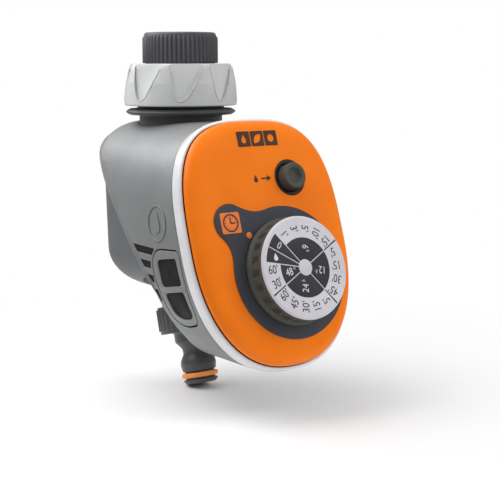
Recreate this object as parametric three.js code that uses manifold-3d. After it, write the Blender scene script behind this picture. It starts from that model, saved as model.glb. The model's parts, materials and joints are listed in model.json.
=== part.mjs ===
// Drip irrigation timer: an electric valve that hangs from a tap, with a dial, a push button,
// a battery drawer in its left side and a hose connector below.
// Millimetres, +Z up, the front panel faces -Y. Lengths below are measured from the inlet axis and
// from the middle of the round flange; at the end the whole object is moved so that its bounding
// box stands centred on the origin.

import * as THREE from 'three';
import { mergeVertices } from 'three/addons/utils/BufferGeometryUtils.js';
import Module from 'manifold-3d';

const wasm = await Module();
wasm.setup();

// ---------------------------------------------------------------- driving dimensions

const GAP = 0.3; // clearance between neighbours
const WALL = 2.2; // shell thickness
const FLATNESS = 0.04; // how far a merged face may lie off the true one

const PANEL = {
  tilt: THREE.MathUtils.degToRad(18.03), // the panel leans back from upright
  y: -68.375,
  z: -54.417,
  halfWidth: 41.6,
  halfHeight: 55,
  topPower: 3.1, // the outline is squarer at the top than at the bottom
  bottomPower: 2.3,
  crown: 5, // height of the cover's face above its edge
};
const RING = { front: 0.1, ledge: -1.1, lip: 1, back: -6.3, inset: 6 };
const HOUSING_FRONT = -6.6;

const INLET = { flange: 26, flangeHalf: 1.4, neck: 20.3, lowerNeck: 19.4, bore: 12 };
const GROOVE = { low: 3.9, high: 5.3 }; // holds the ring that keeps the nut on the neck
const NUT = { bottom: 2.8, top: 22, bottomRadius: 26.3, topRadius: 24.1, facets: 8, firstFacet: 0.311 };
const ADAPTOR = { bottom: 8, top: 36.3, radius: 17.6, ribs: 52, threadRadius: 13.2 };

const REAR = { y: 38, rounding: 20, taper: 0.89 };
// The housing's underside, seen from the side: a 45 degree slope, then a steeper foot.
const UNDERSIDE = { slope: 41, kneeY: -36.5, footY: -45.5, footZ: -96 };
const BACK_COVER = { halfWidth: 34, rear: 24.5, front: -50, bottom: -80.5, rounding: 17, power: 4.6 };

const SCREW_HEAD_LIFT = 6.5; // how far above the underside's plane the rear screws' heads sit
const VALVE = { z: -40, radius: 20, face: -16.5, bore: 16.2, seat: 7.5, barrel: 14.5 };
const BONNET_CORNER = 16.4; // the bonnet screws stand this far out in both directions

const OUTLET_TILT = THREE.MathUtils.degToRad(14.93); // the outlet leans forward going down
const OUTLET = { y: -13.95, z: -124.08, collarTop: 34, collarBottom: 21, collarRadius: 16.2, bore: 4.6 };
const SPIGOT = { top: 52, bottom: 25, radius: 13 };

const DIAL = { x: 4.2, v: -14.4, base: 6.1, top: 15.2, baseRadius: 23.5, topRadius: 22.5, disc: 21.8 };
const PAD_RADIUS = 29;
const BUTTON = { x: 14, v: 26.8, radius: 5.8, well: 8.1, top: 9.5 };

const DRAWER = { innerX: -33, length: 50, pocketDepth: 1.5, y: -52.6, z: -72.1 };
const BATTERY = { length: 48.5, width: 26, depth: 17, angle: THREE.MathUtils.degToRad(68) };
const SLEEVE_END = 22.5; // the right end of the pocket behind the drawer
const LEAD = 0.7; // radius of the battery leads

const BOARD = { back: -6.2, front: -4.6 };

// ---------------------------------------------------------------- materials

const finish = (color, roughness, metalness = 0) =>
  new THREE.MeshStandardMaterial({ color, roughness, metalness });

const SILVER = finish(0xa9abad, 0.42, 0.15);
const PALE = finish(0xc9cacb, 0.45);
const DARK = finish(0x55575a, 0.55);
const MID_GREY = finish(0x6f7173, 0.5);
const ORANGE = finish(0xee7420, 0.25);
const WHITE = finish(0xf2f2f3, 0.25);
const SOFT_BLACK = finish(0x34363a, 0.6);
const BUTTON_GREY = finish(0x4a4b45, 0.45);
const DISC_WHITE = finish(0xcfcdd4, 0.4);
const SEAL_ORANGE = finish(0xeb8c46, 0.5);
const RUBBER = finish(0x1c1c1d, 0.8);
const STEEL = finish(0xb8babd, 0.3, 1);
const COPPER = finish(0xb4572b, 0.35, 1);
const NYLON = finish(0xe6e4da, 0.5);
const BOARD_GREEN = finish(0x1d5a38, 0.5);
const BATTERY_BLUE = finish(0x2f4f8a, 0.35, 0.3);
const CABLE_RED = finish(0xb3202a, 0.5);

// ---------------------------------------------------------------- solids

// Gives a geometry shared vertices, no flat triangles and faces that point out.
function closed(geometry) {
  const bare = geometry.clone();
  bare.deleteAttribute('normal');
  bare.deleteAttribute('uv');
  const merged = mergeVertices(bare, 1e-4);
  const place = merged.attributes.position;
  const corners = merged.index.array;
  const kept = [];
  const [a, b, c] = [new THREE.Vector3(), new THREE.Vector3(), new THREE.Vector3()];
  let volume = 0;
  for (let i = 0; i < corners.length; i += 3) {
    const [p, q, r] = [corners[i], corners[i + 1], corners[i + 2]];
    if (p === q || q === r || r === p) continue;
    kept.push(p, q, r);
    a.fromBufferAttribute(place, p);
    b.fromBufferAttribute(place, q);
    c.fromBufferAttribute(place, r);
    volume += a.dot(b.cross(c));
  }
  if (volume < 0) kept.reverse();
  merged.setIndex(kept);
  return merged;
}

function toManifold(geometry) {
  const solid = closed(geometry);
  const vertProperties = new Float32Array(solid.attributes.position.array);
  const triVerts = new Uint32Array(solid.index.array);
  return new wasm.Manifold(new wasm.Mesh({ numProp: 3, vertProperties, triVerts }));
}

// The solid's skin, with triangles merged where they lie almost in one plane.
function toGeometry(manifold) {
  const { vertProperties, triVerts } = manifold.asOriginal().simplify(FLATNESS).getMesh();
  const geometry = new THREE.BufferGeometry();
  geometry.setAttribute('position', new THREE.BufferAttribute(vertProperties, 3));
  geometry.setIndex([...triVerts]);
  return geometry;
}

function join(first, ...others) {
  return toGeometry(others.reduce((sum, next) => sum.add(toManifold(next)), toManifold(first)));
}

function cut(first, ...tools) {
  return toGeometry(tools.reduce((rest, tool) => rest.subtract(toManifold(tool)), toManifold(first)));
}

function overlap(first, second) {
  return toGeometry(toManifold(first).intersect(toManifold(second)));
}

function moved(geometry, x = 0, y = 0, z = 0) {
  return geometry.clone().translate(x, y, z);
}

// A solid turned about Z from a profile of [radius, height] points that starts and ends on the
// axis, or closes on itself.
function turned(profile, segments = 32) {
  const points = profile.map(([radius, height]) => new THREE.Vector2(radius, height));
  return new THREE.LatheGeometry(points, segments).rotateX(Math.PI / 2);
}

function rod(radius, bottom, top, segments = 24) {
  return turned([[0, bottom], [radius, bottom], [radius, top], [0, top]], segments);
}

function tube(outer, inner, bottom, top, segments = 32) {
  const wall = [[inner, bottom], [outer, bottom], [outer, top], [inner, top], [inner, bottom]];
  return turned(wall, segments);
}

function block(width, depth, height) {
  return new THREE.BoxGeometry(width, depth, height);
}

// Turns a solid that stands along +Z so that it lies along -Y.
const facingFront = (geometry) => geometry.clone().rotateX(Math.PI / 2);

function prism(shape, bottom, top, curveSegments = 6) {
  const options = { depth: top - bottom, bevelEnabled: false, curveSegments };
  return new THREE.ExtrudeGeometry(shape, options).translate(0, 0, bottom);
}

// Stands a prism drawn in (y, z) along the X axis.
function alongX(geometry) {
  const turn = new THREE.Matrix4().makeBasis(
    new THREE.Vector3(0, 1, 0),
    new THREE.Vector3(0, 0, 1),
    new THREE.Vector3(1, 0, 0),
  );
  return geometry.clone().applyMatrix4(turn);
}

// A round outline with sharp ribs that stand out of it.
function ribbedOutline(radius, depth, ribs) {
  const points = [];
  for (let i = 0; i < 2 * ribs; i += 1) {
    const angle = (i * Math.PI) / ribs;
    const reach = i % 2 === 0 ? radius : radius - depth;
    points.push(new THREE.Vector2(reach * Math.cos(angle), reach * Math.sin(angle)));
  }
  return new THREE.Shape(points);
}

// A solid with a cross-section at each step along it: place(angle, step) gives a point of the skin,
// and centre(step) the point that closes each end.
function lofted(steps, around, place, centre) {
  const geometry = new THREE.CylinderGeometry(1, 1, steps - 1, around, steps - 1);
  const vertices = geometry.attributes.position;
  for (let i = 0; i < vertices.count; i += 1) {
    const [x, y, z] = [vertices.getX(i), vertices.getY(i), vertices.getZ(i)];
    const step = Math.round(y + (steps - 1) / 2);
    const onAxis = Math.hypot(x, z) < 0.5;
    vertices.setXYZ(i, ...(onAxis ? centre(step) : place(Math.atan2(z, x), step)));
  }
  return geometry;
}

function coil(radius, wire, height, turns) {
  const points = [];
  const steps = turns * 8;
  for (let i = 0; i <= steps; i += 1) {
    const angle = (i / 8) * 2 * Math.PI;
    const rise = (i / steps) * height;
    points.push(new THREE.Vector3(radius * Math.cos(angle), radius * Math.sin(angle), rise));
  }
  const path = new THREE.CatmullRomCurve3(points);
  const section = new THREE.Shape().absarc(0, 0, wire, 0, 2 * Math.PI);
  return new THREE.ExtrudeGeometry(section, { steps, extrudePath: path, curveSegments: 2.5 });
}

function cable(radius, ...points) {
  const path = new THREE.CatmullRomCurve3(points.map((p) => new THREE.Vector3(...p)));
  const section = new THREE.Shape().absarc(0, 0, radius, 0, 2 * Math.PI);
  return new THREE.ExtrudeGeometry(section, { steps: 9, extrudePath: path, curveSegments: 2 });
}

// A pan-head screw along Z with its head's top at the height given and its shank below.
function screw(headRadius, headHeight, shankRadius, length) {
  const body = turned(
    [[0, -headHeight - length], [shankRadius, -headHeight - length], [shankRadius, -headHeight],
      [headRadius, -headHeight], [headRadius, -0.4 * headHeight], [0.7 * headRadius, 0], [0, 0]],
    8,
  );
  const bar = block(1.3 * headRadius, 0.35 * headRadius, headHeight);
  return cut(body, bar, bar.clone().rotateZ(Math.PI / 2));
}

function node(name, geometry, material) {
  const mesh = new THREE.Mesh(closed(geometry), material);
  mesh.name = name;
  return mesh;
}

// ---------------------------------------------------------------- outline of the front panel

function panelRadius(angle, inset = 0) {
  const power = Math.sin(angle) > 0 ? PANEL.topPower : PANEL.bottomPower;
  const across = Math.abs(Math.cos(angle) / (PANEL.halfWidth - inset)) ** power;
  const along = Math.abs(Math.sin(angle) / (PANEL.halfHeight - inset)) ** power;
  return (across + along) ** (-1 / power);
}

// A solid that follows the panel's outline, from [inset, height] pairs.
function panelled(profile, around = 44) {
  const place = (angle, step) => {
    const [inset, height] = profile[step];
    const radius = panelRadius(angle, inset);
    return [radius * Math.cos(angle), radius * Math.sin(angle), height];
  };
  return lofted(profile.length, around, place, (step) => [0, 0, profile[step][1]]);
}

// ---------------------------------------------------------------- casing

// The housing's skin, set in by a depth: the panel's outline carried straight back, tapering
// towards the rear and rounded off there.
function housingBody(depth, front) {
  const turns = 5;
  const straight = [0];
  const lean = Math.sin(PANEL.tilt);
  const rise = Math.cos(PANEL.tilt);
  const frontY = (v) => PANEL.y + v * lean - front * rise;
  const frontZ = (v) => PANEL.z + v * rise + front * lean;
  const rearY = REAR.y - depth;
  const bend = REAR.rounding - depth;
  const place = (angle, step) => {
    const turn = Math.max(0, (step - straight.length) / turns) * (Math.PI / 2);
    const inset = depth + bend * (1 - Math.cos(turn));
    const radius = panelRadius(angle, inset);
    const v = radius * Math.sin(angle);
    const start = frontY(v);
    const straightEnd = rearY - bend;
    const y = step < straight.length
      ? start + straight[step] * (straightEnd - start)
      : straightEnd + bend * Math.sin(turn);
    const reach = Math.min(1, (y - start) / (straightEnd - start));
    const width = 1 - (1 - REAR.taper) * reach;
    return [radius * Math.cos(angle) * width, y, frontZ(v)];
  };
  const steps = straight.length + turns + 1;
  const centre = (step) => (step === 0 ? [0, frontY(0), frontZ(0)] : [0, rearY, frontZ(0)]);
  return lofted(steps, 36, place, centre);
}

// Everything behind and below the housing's underside, brought in by a depth.
function belowUnderside(depth) {
  const { slope, kneeY, footY, footZ } = UNDERSIDE;
  const far = 200;
  const drop = slope - depth * Math.SQRT2;
  const outline = new THREE.Shape()
    .moveTo(far, far - drop)
    .lineTo(kneeY - depth, kneeY - depth - drop)
    .lineTo(footY - depth, footZ)
    .lineTo(footY - depth, -far)
    .lineTo(far, -far)
    .closePath();
  return alongX(prism(outline, -far, far));
}

// The rear cover's skin, set in by a depth.
function backBody(depth, above = 0) {
  const turns = 3;
  const top = -20 + above;
  const halfDepth = (BACK_COVER.rear - BACK_COVER.front) / 2;
  const middleY = (BACK_COVER.rear + BACK_COVER.front) / 2;
  const bottom = BACK_COVER.bottom + depth;
  const bend = BACK_COVER.rounding - depth;
  const place = (angle, step) => {
    const turn = (Math.max(0, step - 1) / turns) * (Math.PI / 2);
    const inset = depth + bend * (1 - Math.cos(turn));
    const across = Math.abs(Math.cos(angle) / (BACK_COVER.halfWidth - inset)) ** BACK_COVER.power;
    const along = Math.abs(Math.sin(angle) / (halfDepth - inset)) ** BACK_COVER.power;
    const radius = (across + along) ** (-1 / BACK_COVER.power);
    const z = step === 0 ? top : bottom + bend * (1 - Math.sin(turn));
    const draft = 0.05 * (z + 60);
    return [radius * Math.cos(angle), middleY + radius * Math.sin(angle) + draft, z];
  };
  const centre = (step) => [0, middleY, step === 0 ? top : bottom];
  return lofted(turns + 2, 28, place, centre);
}

// The drawer's face, drawn in (y, z), grown by a margin. Its front edge runs beside the panel.
function drawerOutline(margin) {
  const m = margin;
  return new THREE.Shape()
    .moveTo(-44.5, -57 + m)
    .lineTo(-57.2, -56 + m)
    .quadraticCurveTo(-60.4 - m, -56 + m, -61.3 - m, -59.6)
    .lineTo(-66.4 - m, -78.5)
    .quadraticCurveTo(-68.6 - m, -86.4 - m, -61.6, -87.6 - m)
    .bezierCurveTo(-54, -90.2 - m, -46.5 + m, -90 - m, -44.2 + m, -83.5)
    .lineTo(-38.4 + m, -69.5)
    .quadraticCurveTo(-35.6 + m, -58.6 + m, -44.5, -57 + m);
}

function drawerPrism(margin, left, right) {
  return alongX(prism(drawerOutline(margin), left, right, 5));
}

// Four slots that step down between the drawer and the sloping edge; the last is a small wedge.
function sideSlots() {
  const height = 3.3;
  const lean = 3.3; // the rear end follows the sloping underside
  const slots = [
    { top: -56.9, rear: -19.6, front: -39.4, frontLow: -36.9 },
    { top: -63, rear: -25.6, front: -35.8, frontLow: -35.4 },
    { top: -69.1, rear: -31.2, front: -37, frontLow: -37.2 },
  ];
  const outlines = slots.map(({ top, rear, front, frontLow }) => new THREE.Shape()
    .moveTo(rear, top)
    .lineTo(front, top)
    .lineTo(frontLow, top - height)
    .lineTo(rear - lean, top - height)
    .closePath());
  const wedge = new THREE.Shape()
    .moveTo(-35.5, -75.2)
    .lineTo(-38.9, -75.2)
    .lineTo(-40.8, -80.4)
    .lineTo(-39.3, -80.4)
    .closePath();
  return [...outlines, wedge].map((outline) => alongX(prism(outline, -60, -35)));
}

function mainHousing() {
  const outside = housingBody(0, HOUSING_FRONT);
  const inside = cut(housingBody(WALL, HOUSING_FRONT + 1), belowUnderside(WALL));
  const trimmed = cut(outside, belowUnderside(0));
  const hollow = cut(trimmed, inside);
  const neckHole = rod(INLET.lowerNeck + GAP, -30, 20, 40);
  const bosses = rearScrewPlaces().map((place) => diagonalPost(3.8, ...place, -8, -0.4));
  const pilots = rearScrewPlaces().map((place) => diagonalPost(1.5, ...place, -6, 2));
  const bossed = join(hollow, ...bosses);
  const valvePassage = block(30.4, 37, 38).translate(0, -1, -59);
  const openings = [neckHole, backBody(12), valvePassage, drawerPrism(0.35, -60, -30)];
  return cut(bossed, ...openings, ...sideSlots(), ...pilots);
}

function rearCover() {
  const outside = backBody(0);
  const shell = cut(outside, backBody(WALL, 5));
  const outletHole = rod(SPIGOT.radius + 0.5, SPIGOT.bottom - 6, SPIGOT.top + 12, 32);
  const inFront = cut(block(400, 400, 400), belowUnderside(-GAP));
  const bosses = rearScrewPlaces().map(([x, y, z]) => diagonalPost(4.6, x, y, z));
  const holes = rearScrewPlaces().map(([x, y, z]) => diagonalPost(1.9, x, y, z));
  const headWells = rearScrewPlaces().map(([x, y, z]) => diagonalWell(3.6, x, y, z));
  const bossed = join(shell, ...bosses.map((boss) => overlap(boss, outside)));
  return cut(bossed, inFront, onOutletAxis(outletHole), ...holes, ...headWells);
}

// ---------------------------------------------------------------- places of the rear screws

function rearScrewPlaces() {
  const across = 27;
  const heights = [-36, -66];
  const places = heights.map((z) => [z + UNDERSIDE.slope, z]);
  return places.flatMap(([y, z]) => [[-across, y, z], [across, y, z]]);
}

// A rod square to the 45 degree underside, through a point that lies on it.
function diagonalPost(radius, x, y, z, low = -3, high = 40) {
  return rod(radius, low, high, 10).rotateX((-3 * Math.PI) / 4).translate(x, y, z);
}

function diagonalWell(radius, x, y, z) {
  return diagonalPost(radius, x, y, z, SCREW_HEAD_LIFT - 2.4, 60);
}

// ---------------------------------------------------------------- inlet

function inletNut() {
  const { bottom, top, bottomRadius, topRadius } = NUT;
  const skin = [
    [INLET.neck + 0.4, bottom], [bottomRadius - 0.7, bottom], [bottomRadius, bottom + 0.7],
    [bottomRadius - 0.4, 13], [topRadius + 0.6, top - 2.2], [topRadius, top - 0.7], [topRadius - 0.9, top],
    [ADAPTOR.radius - 1.2, top], [ADAPTOR.radius - 1.2, bottom + 4.6], [INLET.neck + 0.4, bottom + 4.6],
    [INLET.neck + 0.4, GROOVE.high + GAP], [INLET.neck + 1.3, GROOVE.high + GAP],
    [INLET.neck + 1.3, GROOVE.low - GAP], [INLET.neck + 0.4, GROOVE.low - GAP],
    [INLET.neck + 0.4, bottom],
  ];
  const facets = [];
  for (let i = 0; i < NUT.facets; i += 1) {
    facets.push(finCutter().rotateZ((i / NUT.facets) * 2 * Math.PI + NUT.firstFacet));
  }
  return cut(turned(skin, 42), ...facets);
}

// A shallow fin with a flat floor: a steep left edge, a rounded foot and a long slanting right edge.
function finCutter() {
  const depth = 1; // of the floor below the nut's skin, at the foot
  const taper = 0.115;
  const fin = new THREE.Shape()
    .moveTo(-7.9, 24)
    .bezierCurveTo(-7.3, 14, -6, 5, -3.3, 5)
    .bezierCurveTo(0.6, 5, 3.6, 11.5, 9.4, 24);
  return facingFront(prism(fin, 0, 20, 7)).rotateX(-taper).translate(0, depth - NUT.bottomRadius, 0);
}

function nutClipRing() {
  const ring = tube(INLET.neck + 0.8, INLET.neck - 0.6, GROOVE.low + GAP, GROOVE.high - GAP, 30);
  return cut(ring, block(4, 8, 8).translate(0, INLET.neck, GROOVE.low));
}

function tapAdaptor() {
  const { bottom, top, radius, ribs, threadRadius } = ADAPTOR;
  const grip = prism(ribbedOutline(radius, 0.9, ribs), NUT.top + GAP, top - 1.4);
  const rim = turned([[0, top - 1.5], [radius - 0.95, top - 1.5], [radius - 1.5, top], [0, top]], 40);
  const stub = rod(radius - 1.6, bottom, NUT.top + 1, 40);
  const thread = rod(threadRadius, top - 16, top + 1, 40);
  return cut(join(grip, rim, stub), thread, rod(INLET.bore - 2, bottom - 1, top, 32));
}

function inletFilter() {
  const cup = [
    [0, -11], [6, -11], [8.6, 4], [10.6, 4], [10.6, 5.2], [8, 5.2], [5.2, -9.6], [0, -9.6],
  ];
  return turned(cup, 20);
}

// ---------------------------------------------------------------- valve

// Moves a solid that stands along the outlet's axis, with its zero at the O-ring, into place.
function onOutletAxis(geometry) {
  return geometry.clone().rotateX(-OUTLET_TILT).translate(0, OUTLET.y, OUTLET.z);
}

// Moves a solid that stands along +Z onto the diaphragm's axis, pointing to the front.
function onValveAxis(geometry) {
  return facingFront(geometry).translate(0, 0, VALVE.z);
}

const CORNERS = [[-1, -1], [1, -1], [1, 1], [-1, 1]];

function flangePlate(half, bottom, top) {
  const corner = 4;
  const shape = new THREE.Shape()
    .moveTo(-half + corner, -half)
    .lineTo(half - corner, -half)
    .absarc(half - corner, -half + corner, corner, -Math.PI / 2, 0)
    .absarc(half - corner, half - corner, corner, 0, Math.PI / 2)
    .absarc(-half + corner, half - corner, corner, Math.PI / 2, Math.PI)
    .absarc(-half + corner, -half + corner, corner, Math.PI, 1.5 * Math.PI);
  return prism(shape, bottom, top, 3);
}

function valveBody() {
  const { flange, flangeHalf, neck, lowerNeck, bore } = INLET;
  const { z, radius, face, seat, barrel } = VALVE;
  const floor = z - barrel;
  const outer = turned([
    [0, floor], [barrel - 3, floor], [barrel, floor + 3], [barrel, -12], [lowerNeck, -10],
    [lowerNeck, -flangeHalf], [flange - 2, -flangeHalf], [flange, -0.3], [flange, 0.3],
    [flange - 2, flangeHalf], [neck, flangeHalf], [neck, GROOVE.low],
    [neck - 0.9, GROOVE.low], [neck - 0.9, GROOVE.high], [neck, GROOVE.high],
    [neck, GROOVE.high + 0.9], [INLET.bore + 3, GROOVE.high + 0.9], [INLET.bore + 3, 6.8], [0, 6.8],
  ], 32);
  const chamber = onValveAxis(rod(radius, 2, -face, 24));
  const plate = onValveAxis(flangePlate(21, -face - 4, -face));
  const bores = [
    turned([[0, floor + 2.6], [barrel - 2.6, floor + 2.6], [barrel - 2.6, -12], [bore, -2],
      [bore, 10], [0, 10]], 16),
    onValveAxis(rod(VALVE.bore, 4, -face + 1, 24)),
  ];
  const seatTube = onValveAxis(rod(seat, -9, -face - 0.8, 16));
  const duct = onOutletAxis(rod(8, SPIGOT.bottom + 20, 86, 16));
  const spigot = onOutletAxis(rod(SPIGOT.radius, SPIGOT.bottom + 9.4, SPIGOT.top, 28));
  const shell = cut(join(outer, chamber, plate), ...bores);
  const screwHoles = CORNERS.map(([x, y]) =>
    onValveAxis(moved(rod(1.2, -face - 8, -face + 1, 8), x * BONNET_CORNER, y * BONNET_CORNER)));
  const whole = join(shell, seatTube, duct, spigot);
  return cut(
    whole,
    onValveAxis(rod(seat - 2, -6, -face + 1, 14)),
    onOutletAxis(rod(5.6, SPIGOT.bottom, 83, 14)),
    onOutletAxis(rod(SPIGOT.radius - 2.4, SPIGOT.bottom, SPIGOT.bottom + 15, 20)),
    ...screwHoles,
  );
}

function valveBonnet() {
  const face = -VALVE.face + 2.6;
  const plate = flangePlate(21, face, face + 4);
  const dome = rod(15, face + 3, face + 9, 32);
  const hollow = rod(12.4, face - 1, face + 6.2, 28);
  const guide = rod(4.2, face - 2, face + 20, 16);
  const screwHoles = CORNERS.map(([x, y]) =>
    moved(rod(1.8, face - 1, face + 5, 12), x * BONNET_CORNER, y * BONNET_CORNER));
  return cut(join(plate, dome), hollow, guide, ...screwHoles);
}

function diaphragm() {
  const back = -VALVE.face + GAP;
  const flat = back + 2;
  return turned([
    [0, back - 0.6], [9, back - 0.6], [10.5, back + 0.6], [13, back + 0.9], [14.5, back], [19.5, back],
    [19.5, flat], [14.8, flat], [12.8, flat - 0.2], [10.2, flat - 0.4], [9, flat - 0.4], [0, flat - 0.4],
  ], 24);
}

// ---------------------------------------------------------------- outlet

function outletConnector() {
  const { collarTop, collarBottom, collarRadius, bore } = OUTLET;
  const collar = prism(ribbedOutline(collarRadius, 0.7, 34), collarBottom + 1.6, collarTop - 1);
  const caps = turned([
    [0, collarBottom], [collarRadius - 2.4, collarBottom], [collarRadius - 0.9, collarBottom + 1.8],
    [collarRadius - 0.9, collarTop - 1.2], [collarRadius - 1.6, collarTop], [0, collarTop],
  ], 34);
  const nipple = turned([
    [0, -4], [6.9, -4], [8, -2.9], [8.1, -2.1], [7, -1.7], [7, 1.7], [7.9, 2.1], [8.5, 5.2],
    [8.1, 7.2], [6.8, 9.2], [6.4, 11], [6.8, 13], [8.2, 15], [9.5, 16.4], [9.5, collarBottom + 1],
    [0, collarBottom + 1],
  ], 24);
  const socket = rod(SPIGOT.radius + GAP, SPIGOT.bottom + 1.6, collarTop + 1, 28);
  return cut(join(collar, caps, nipple), socket, rod(bore, -8, collarTop, 14));
}

// ---------------------------------------------------------------- front panel

// The cover's face: a steep rounded edge that flows into a flat middle.
function coverFace() {
  const edge = { start: RING.lip + GAP, height: 1.1, inset: 11 };
  const profile = [[edge.start, GAP]];
  for (const part of [0, 0.04, 0.15, 0.34, 0.6, 1]) {
    const rise = Math.sqrt(1 - (1 - part) ** 3);
    const inset = edge.start + (edge.inset - edge.start) * part;
    profile.push([inset, edge.height + (PANEL.crown - edge.height) * rise]);
  }
  return profile;
}

function frontCover() {
  const inside = [[WALL + 1.2, GAP - 1], [WALL + 1.2, 1.2], [6.5, PANEL.crown - WALL]];
  const shell = cut(panelled(coverFace()), panelled(inside, 36));
  const shaftHole = moved(rod(4.6, 0, 20, 24), DIAL.x, DIAL.v);
  const buttonHole = moved(rod(BUTTON.well, 0, 20, 32), BUTTON.x, BUTTON.v);
  return cut(shell, shaftHole, buttonHole);
}

function trimRing() {
  const { front, ledge, lip, back, inset } = RING;
  const outside = panelled([[0, back], [-0.35, back + 0.8], [-0.35, front - 1], [0.2, front]]);
  const opening = panelled([[inset, back - 1], [inset, front + 1]], 36);
  return cut(outside, panelled([[lip, ledge], [lip, front + 1]]), opening);
}

function frontSeal() {
  const outside = panelled([[RING.lip + 0.2, RING.ledge + 0.25], [RING.lip + 0.2, 0]]);
  return cut(outside, panelled([[4, RING.ledge - 1], [4, 1]], 36));
}

// A round pad with a lobe at its upper left, joined to it by sweeping curves.
function padOutline() {
  const lobe = { x: -21.8, v: 9.2, radius: 8.2, from: 225, to: 62 };
  const pad = { x: DIAL.x, v: DIAL.v, radius: PAD_RADIUS, from: 105, to: -190 };
  const radians = THREE.MathUtils.degToRad;
  // The point of a circle at an angle, moved on along its clockwise tangent.
  const beside = (circle, degrees, ahead = 0) => [
    circle.x + circle.radius * Math.cos(radians(degrees)) + ahead * Math.sin(radians(degrees)),
    circle.v + circle.radius * Math.sin(radians(degrees)) - ahead * Math.cos(radians(degrees)),
  ];
  const arc = (shape, { x, v, radius, from, to }) =>
    shape.absarc(x, v, radius, radians(from), radians(to), true);
  const shape = new THREE.Shape().moveTo(...beside(lobe, lobe.to));
  shape.bezierCurveTo(...beside(lobe, lobe.to, 4), ...beside(pad, pad.from, -6), ...beside(pad, pad.from));
  arc(shape, pad);
  shape.bezierCurveTo(...beside(pad, pad.to, 7), ...beside(lobe, lobe.from, -4), ...beside(lobe, lobe.from));
  return arc(shape, lobe);
}

function dialOverlay() {
  const low = PANEL.crown + GAP;
  const pad = prism(padOutline(), low, low + 0.4, 20);
  return cut(pad, moved(rod(4.6, 0, 20, 24), DIAL.x, DIAL.v));
}

function dialKnob() {
  const { base, top, baseRadius, topRadius, disc } = DIAL;
  const ribs = 24;
  const skirt = prism(ribbedOutline(topRadius, 0.6, ribs), base + 2, top);
  const body = turned([
    [0, base], [baseRadius, base], [baseRadius, base + 1.6], [topRadius - 0.7, base + 2.6],
    [topRadius - 0.7, top], [0, top],
  ], 2 * ribs);
  const recess = rod(disc - 3, top - 0.4, top + 2, 36);
  const underside = tube(baseRadius - 2, 6.2, base - 1, top - 3, 24);
  const socket = rod(3.3, base - 1, base + 5, 16);
  return cut(join(skirt, body), recess, underside, socket);
}

// The scale's disc covers the knob's top; its edge is chamfered.
function scaleDisc() {
  const { top, disc } = DIAL;
  const low = top + GAP;
  const plug = disc - 3 - GAP;
  return turned([
    [0, top - 0.1], [plug, top - 0.1], [plug, low], [disc + 0.4, low], [disc + 0.4, low + 0.1],
    [disc - 0.3, top + 0.9], [0, top + 0.9],
  ], 48);
}

function manualButton() {
  const { radius, top } = BUTTON;
  return turned([
    [0, 0], [7, 0], [7, 0.9], [radius, 0.9], [radius, top - 1],
    [radius - 0.9, top], [radius - 1.7, top - 0.2], [radius - 3, top - 1.1], [0, top - 1.5],
  ], 20);
}

// ---------------------------------------------------------------- battery drawer

// A box the size of the battery, grown by a margin, in the battery's place.
function batterySpace(margin, left, right) {
  const { width, depth, angle } = BATTERY;
  const space = block(right - left, width + 2 * margin, depth + 2 * margin);
  return space.rotateX(angle).translate((left + right) / 2, DRAWER.y, DRAWER.z);
}

// The face follows the housing's side; behind it a tray holds the battery's rear and lower sides.
function batteryDrawer() {
  const { innerX, length } = DRAWER;
  const face = overlap(drawerPrism(0, -50, innerX), housingBody(0, HOUSING_FRONT));
  const wall = 1.3;
  const tray = overlap(batterySpace(wall, innerX - 1, innerX + length), drawerPrism(-0.4, -60, 60));
  const openSide = block(length + 4, 40, 40)
    .translate(innerX + length / 2 + 2.01, -BATTERY.width / 2 + 34, BATTERY.depth / 2 - 14)
    .rotateX(BATTERY.angle)
    .translate(0, DRAWER.y, DRAWER.z);
  const trough = batterySpace(GAP, innerX, innerX + BATTERY.length);
  const depth = DRAWER.pocketDepth;
  const pockets = [0, 1].map((which) => cut(gripPocket(which), housingBody(depth, HOUSING_FRONT)));
  return cut(join(face, cut(tray, openSide)), trough, ...pockets);
}

// The finger recesses in the drawer's face, run along X and made smaller by a margin.
function gripPocket(which, margin = 0) {
  const m = margin;
  const upper = new THREE.Shape()
    .moveTo(-44, -61.1 - m)
    .lineTo(-56.2, -59.1 - m)
    .quadraticCurveTo(-57.6 + m, -58.9 - m, -58.2 + m, -60.4)
    .lineTo(-60.7 + m, -68.4)
    .quadraticCurveTo(-61.1 + m, -70.1 + m, -59.4, -70.5 + m)
    .lineTo(-46, -73 + m)
    .quadraticCurveTo(-44.2 - m, -73.3 + m, -43.7 - m, -71.4)
    .lineTo(-41.8 - m, -63.6)
    .quadraticCurveTo(-41.4 - m, -61.5 - m, -44, -61.1 - m);
  const lower = new THREE.Shape()
    .moveTo(-46.6, -75.6 - m)
    .lineTo(-60, -73 - m)
    .quadraticCurveTo(-61.6 + m, -72.7 - m, -62.2 + m, -74.4)
    .lineTo(-64.4 + m, -81)
    .quadraticCurveTo(-65 + m, -83.6, -61.6, -84.7 + m)
    .bezierCurveTo(-56, -86.6 + m, -49.4 - m, -87 + m, -47.6 - m, -83)
    .lineTo(-45.4 - m, -77.8)
    .quadraticCurveTo(-44.8 - m, -75.9 - m, -46.6, -75.6 - m);
  return alongX(prism(which === 0 ? upper : lower, -50, -30, 4));
}

// A dark pad in a finger recess, a little below the drawer's face.
function grip(which) {
  const pad = overlap(gripPocket(which, GAP), housingBody(0.5, HOUSING_FRONT));
  return cut(pad, housingBody(DRAWER.pocketDepth - GAP, HOUSING_FRONT));
}

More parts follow.
